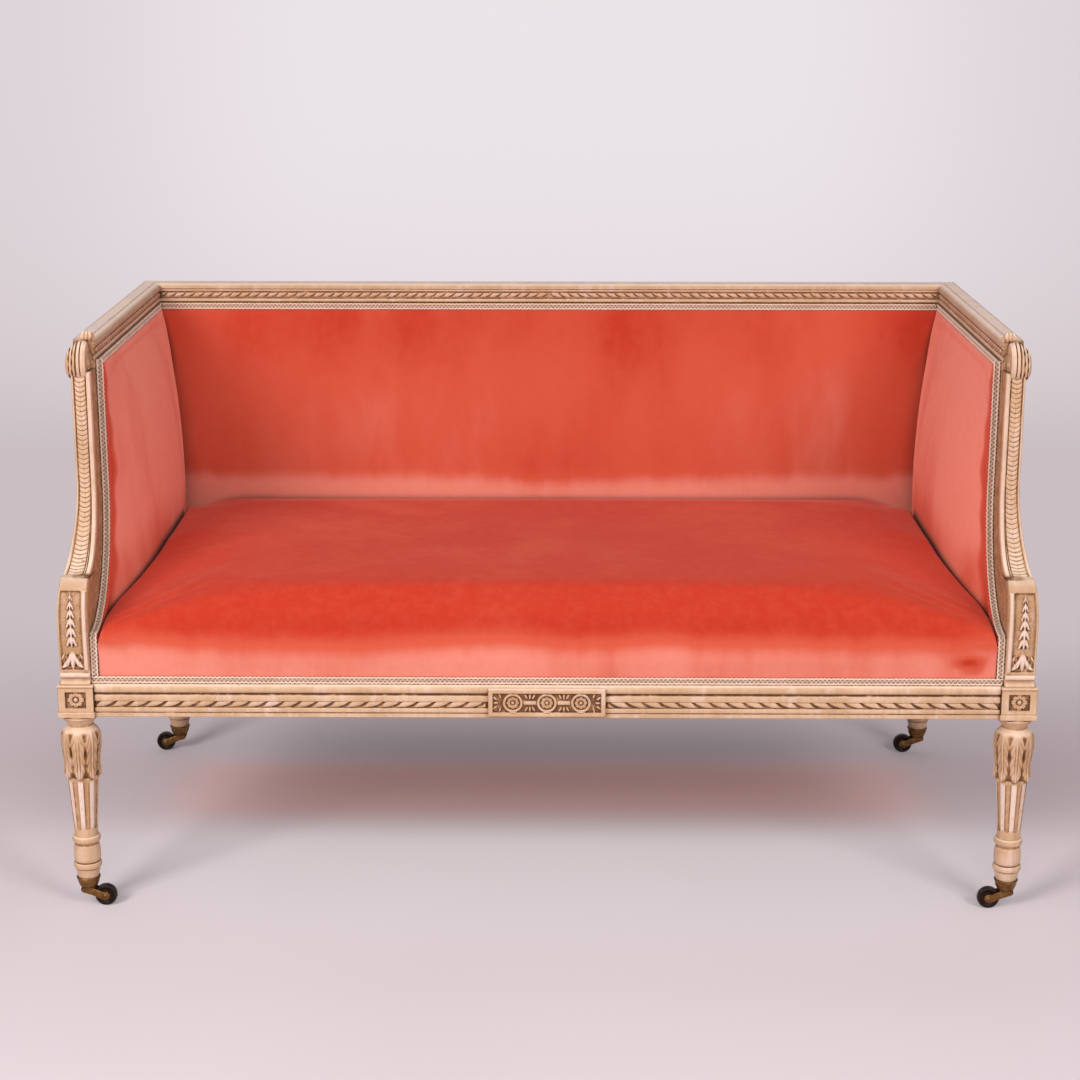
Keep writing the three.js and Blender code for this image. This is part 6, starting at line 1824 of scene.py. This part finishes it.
def castor_fork(axis, heading):
    shape = Shape()
    plate = CUP_FOOT - 0.0003
    profile = [(plate - 0.0044, 0.0002), (plate - 0.0044, 0.0086), (plate - 0.0036, 0.0104),
               (plate - 0.0018, 0.0112), (plate - 0.0004, 0.0112), (plate, 0.0106), (plate, 0.0002)]
    lathe(shape, profile, (axis[0], axis[1], 0), "z", 64)
    outline = np.array(horn_outline())
    inward = outline.mean(0) - outline
    inward /= np.linalg.norm(inward, axis=1)[:, None]
    near, far = CHEEK_PLANES
    for side in (-1, 1):
        rings = []
        for depth, inset in ((near, 0.0004), (near + 0.0004, 0.0), (far - 0.0009, 0.0),
                             (far - 0.0003, 0.00035), (far, 0.0010)):
            x, z = (outline + inward * inset).T
            y = np.full(len(x), axis[1] + side * depth)
            rings.append(np.column_stack([axis[0] + heading * x, y, z]))
        shape.loft(rings)
    across, up = rounded_square(0.0040, 0.0084, 0.0006)[:, ::-1].T
    shape.loft([np.column_stack([np.full(len(up), axis[0] + heading * x), axis[1] + across,
                                 CUP_FOOT - 0.0047 + up * 0.5]) for x in (-0.0096, 0.0085)])
    return shape


def castor_axle(axis, heading):
    shape = Shape()
    centre = (axis[0] + heading * TRAIL, axis[1], WHEEL_RADIUS)
    half = [(AXLE_REACH, 0.0020), (AXLE_REACH, 0.0036), (AXLE_REACH + 0.0006, 0.0030),
            (AXLE_REACH + 0.0011, 0.0016), (AXLE_REACH + 0.0012, 0.0001)]
    lathe(shape, [(-a, r) for a, r in half[::-1]] + half, centre, "y", 40)
    return shape


def castor_wheel(axis, heading):
    shape = Shape()
    centre = (axis[0] + heading * TRAIL, axis[1], WHEEL_RADIUS)
    half = [(0.0055, 0.0023), (0.0056, 0.0042), (0.0050, 0.0050), (0.0036, 0.0058), (0.0032, 0.0070),
            (0.0033, 0.0098), (0.0042, 0.0112), (0.0051, 0.0118), (0.0053, 0.0128), (0.0052, 0.0141),
            (0.0046, 0.0150), (0.0034, 0.0154), (0.0016, WHEEL_RADIUS)]
    profile = [(-a, r) for a, r in half] + half[::-1]
    lathe(shape, profile, centre, "y", 96)
    return shape


def castor_pieces():
    for place, (sign, (x, y), heading) in CASTORS.items():
        axis = (sign * x, y)
        swivel, roller = f"castor_{place}_swivel", f"castor_{place}_roller"
        castor_cup(axis).build(f"cup_{place}", BRASS, "brass", stands_for=[f"castor_{place}_cup"])
        castor_fork(axis, heading).build(f"fork_{place}", BRASS, "brass", swivel, [f"castor_{place}_fork"])
        castor_axle(axis, heading).build(f"axle_{place}", BRASS, "brass", swivel, [f"castor_{place}_axle"])
        wheel = castor_wheel(axis, heading)
        wheel.build(f"wheel_{place}", WHEEL, "dark_wheel", roller, [f"castor_{place}_wheel"])


# The CAD nodes that stay and are seen only from below or from inside

def finish_cad_nodes():
    finishes = {"jute": JUTE, "cambric": CAMBRIC, "steel": STEEL, "bare_wood": BEECH, "painted_wood": PAINT,
                "velvet": VELVET, "braid": GIMP, "brass": BRASS, "dark_wheel": WHEEL}
    slots = {entry["node"]: entry["material_slot"] for entry in frame["record"]["subparts"]}
    for name, node in frame["nodes"].items():
        node.data.materials.clear()
        node.data.materials.append(finishes[slots[name]])


# Stage, lights and camera

def stage():
    """A seamless sheet: level floor, a wide curve and a wall behind."""
    profile = [(-6.0, 0.0), (3.2, 0.0)]
    profile += [(3.2 + 1.6 * math.sin(a), 1.6 - 1.6 * math.cos(a)) for a in np.linspace(0, math.pi / 2, 18)]
    profile += [(4.8, 6.0)]
    points = [(x, y, z) for y, z in profile for x in (-8.0, 8.0)]
    mesh = bpy.data.meshes.new("backdrop")
    mesh.from_pydata(points, [], grid_faces(len(profile), 2).tolist())
    mesh.materials.append(PAPER)
    mesh.shade_smooth()
    sheet = bpy.data.objects.new("backdrop", mesh)
    bpy.context.scene.collection.objects.link(sheet)


def area_light(name, place, target, size, power, colour=(1, 1, 1)):
    lamp = bpy.data.lights.new(name, "AREA")
    lamp.shape = "RECTANGLE"
    lamp.size, lamp.size_y = size
    lamp.energy = power
    lamp.color = colour
    holder = bpy.data.objects.new(name, lamp)
    holder.location = place
    holder.rotation_euler = (Vector(target) - Vector(place)).to_track_quat("-Z", "Y").to_euler()
    bpy.context.scene.collection.objects.link(holder)


def lights():
    target = (0.0, 0.0, 0.35)
    area_light("softbox_left", (-2.2, -3.0, 2.35), target, (1.4, 1.4), 98, (1.0, 0.98, 0.96))
    area_light("softbox_right", (2.2, -3.0, 2.35), target, (1.4, 1.4), 60, (1.0, 0.98, 0.96))
    area_light("softbox_front", (0.0, -4.4, 2.3), target, (2.2, 1.2), 46, (1.0, 0.99, 0.98))
    area_light("overhead", (0.0, -0.9, 3.2), target, (2.6, 1.8), 5, (1.0, 0.99, 0.98))
    world = bpy.data.worlds.new("studio")
    world.use_nodes = True
    background = world.node_tree.nodes["Background"]
    background.inputs["Color"].default_value = srgb(236, 232, 240)
    background.inputs["Strength"].default_value = 0.37
    bpy.context.scene.world = world


def camera():
    data = bpy.data.cameras.new("camera")
    data.sensor_fit = "HORIZONTAL"
    data.sensor_width = SENSOR_WIDTH * 1000
    data.lens = FOCAL_PIXELS / IMAGE_SIZE * SENSOR_WIDTH * 1000
    holder = bpy.data.objects.new("camera", data)
    holder.location = (CAMERA_X, FRONT_AXIS[1] - CAMERA_DISTANCE, CAMERA_HEIGHT)
    angles = (90 - CAMERA_TILT_DOWN, CAMERA_ROLL, CAMERA_PAN)
    holder.rotation_euler = [math.radians(angle) for angle in angles]
    bpy.context.scene.collection.objects.link(holder)
    bpy.context.scene.camera = holder
    bpy.context.scene.view_settings.view_transform = "Standard"


# The pieces

def frame_pieces():
    pairs = (("front_leg", front_leg(), "leg_front"), ("rear_leg", rear_leg(), "leg_post_rear"),
             ("support", arm_support(), "arm_support"), ("top_arm_rail", arm_rail(), "arm_rail"),
             ("side_rail", side_seat_rail(), "side_seat_rail"))
    for side, sign in SIDES:
        for name, shape, node in pairs:
            turned = shape.mirrored(sign)
            turned.build(f"{name}_{side}", PAINT, "painted_wood", stands_for=[f"{node}_{side}"])
    for name, shape, node in (("front_rail", front_seat_rail(), "front_seat_rail"),
                              ("back_rail", back_seat_rail(), "back_seat_rail"),
                              ("top_back_rail", back_top_rail(), "back_top_rail")):
        shape.build(name, PAINT, "painted_wood", stands_for=[node])


def soft_pieces():
    arm_points = arm_pad_points()
    for side, sign in SIDES:
        upholstered(f"arm_cushion_{side}", *arm_points, [f"arm_pad_{side}"], arm_painted_sheen, sign)
    upholstered("back_cushion", *back_pad_points(), ["back_pad"], back_painted_light_and_nap)
    upholstered("seat_cushion", *seat_points(), ["seat_pad"], seat_painted_light_and_wear, fill=0.85, pressure=3.0,
                cap=0.006, frames=16)
    upholstered("outside_back", *outside_panel(outside_back_place(), (0, 1, 0), 0.003),
                ["outside_back_panel"], plain_nap, fill=0.95, cap=0.001)
    arm_panel = outside_panel(outside_arm_place(), (1, 0, 0), 0.003)
    for side, sign in SIDES:
        upholstered(f"outside_arm_{side}", *arm_panel, [f"outside_arm_panel_{side}"], plain_nap, sign,
                    fill=0.95, cap=0.001)


camera()
lights()
stage()
finish_cad_nodes()
frame_pieces()
soft_pieces()
braid_pieces()
castor_pieces()
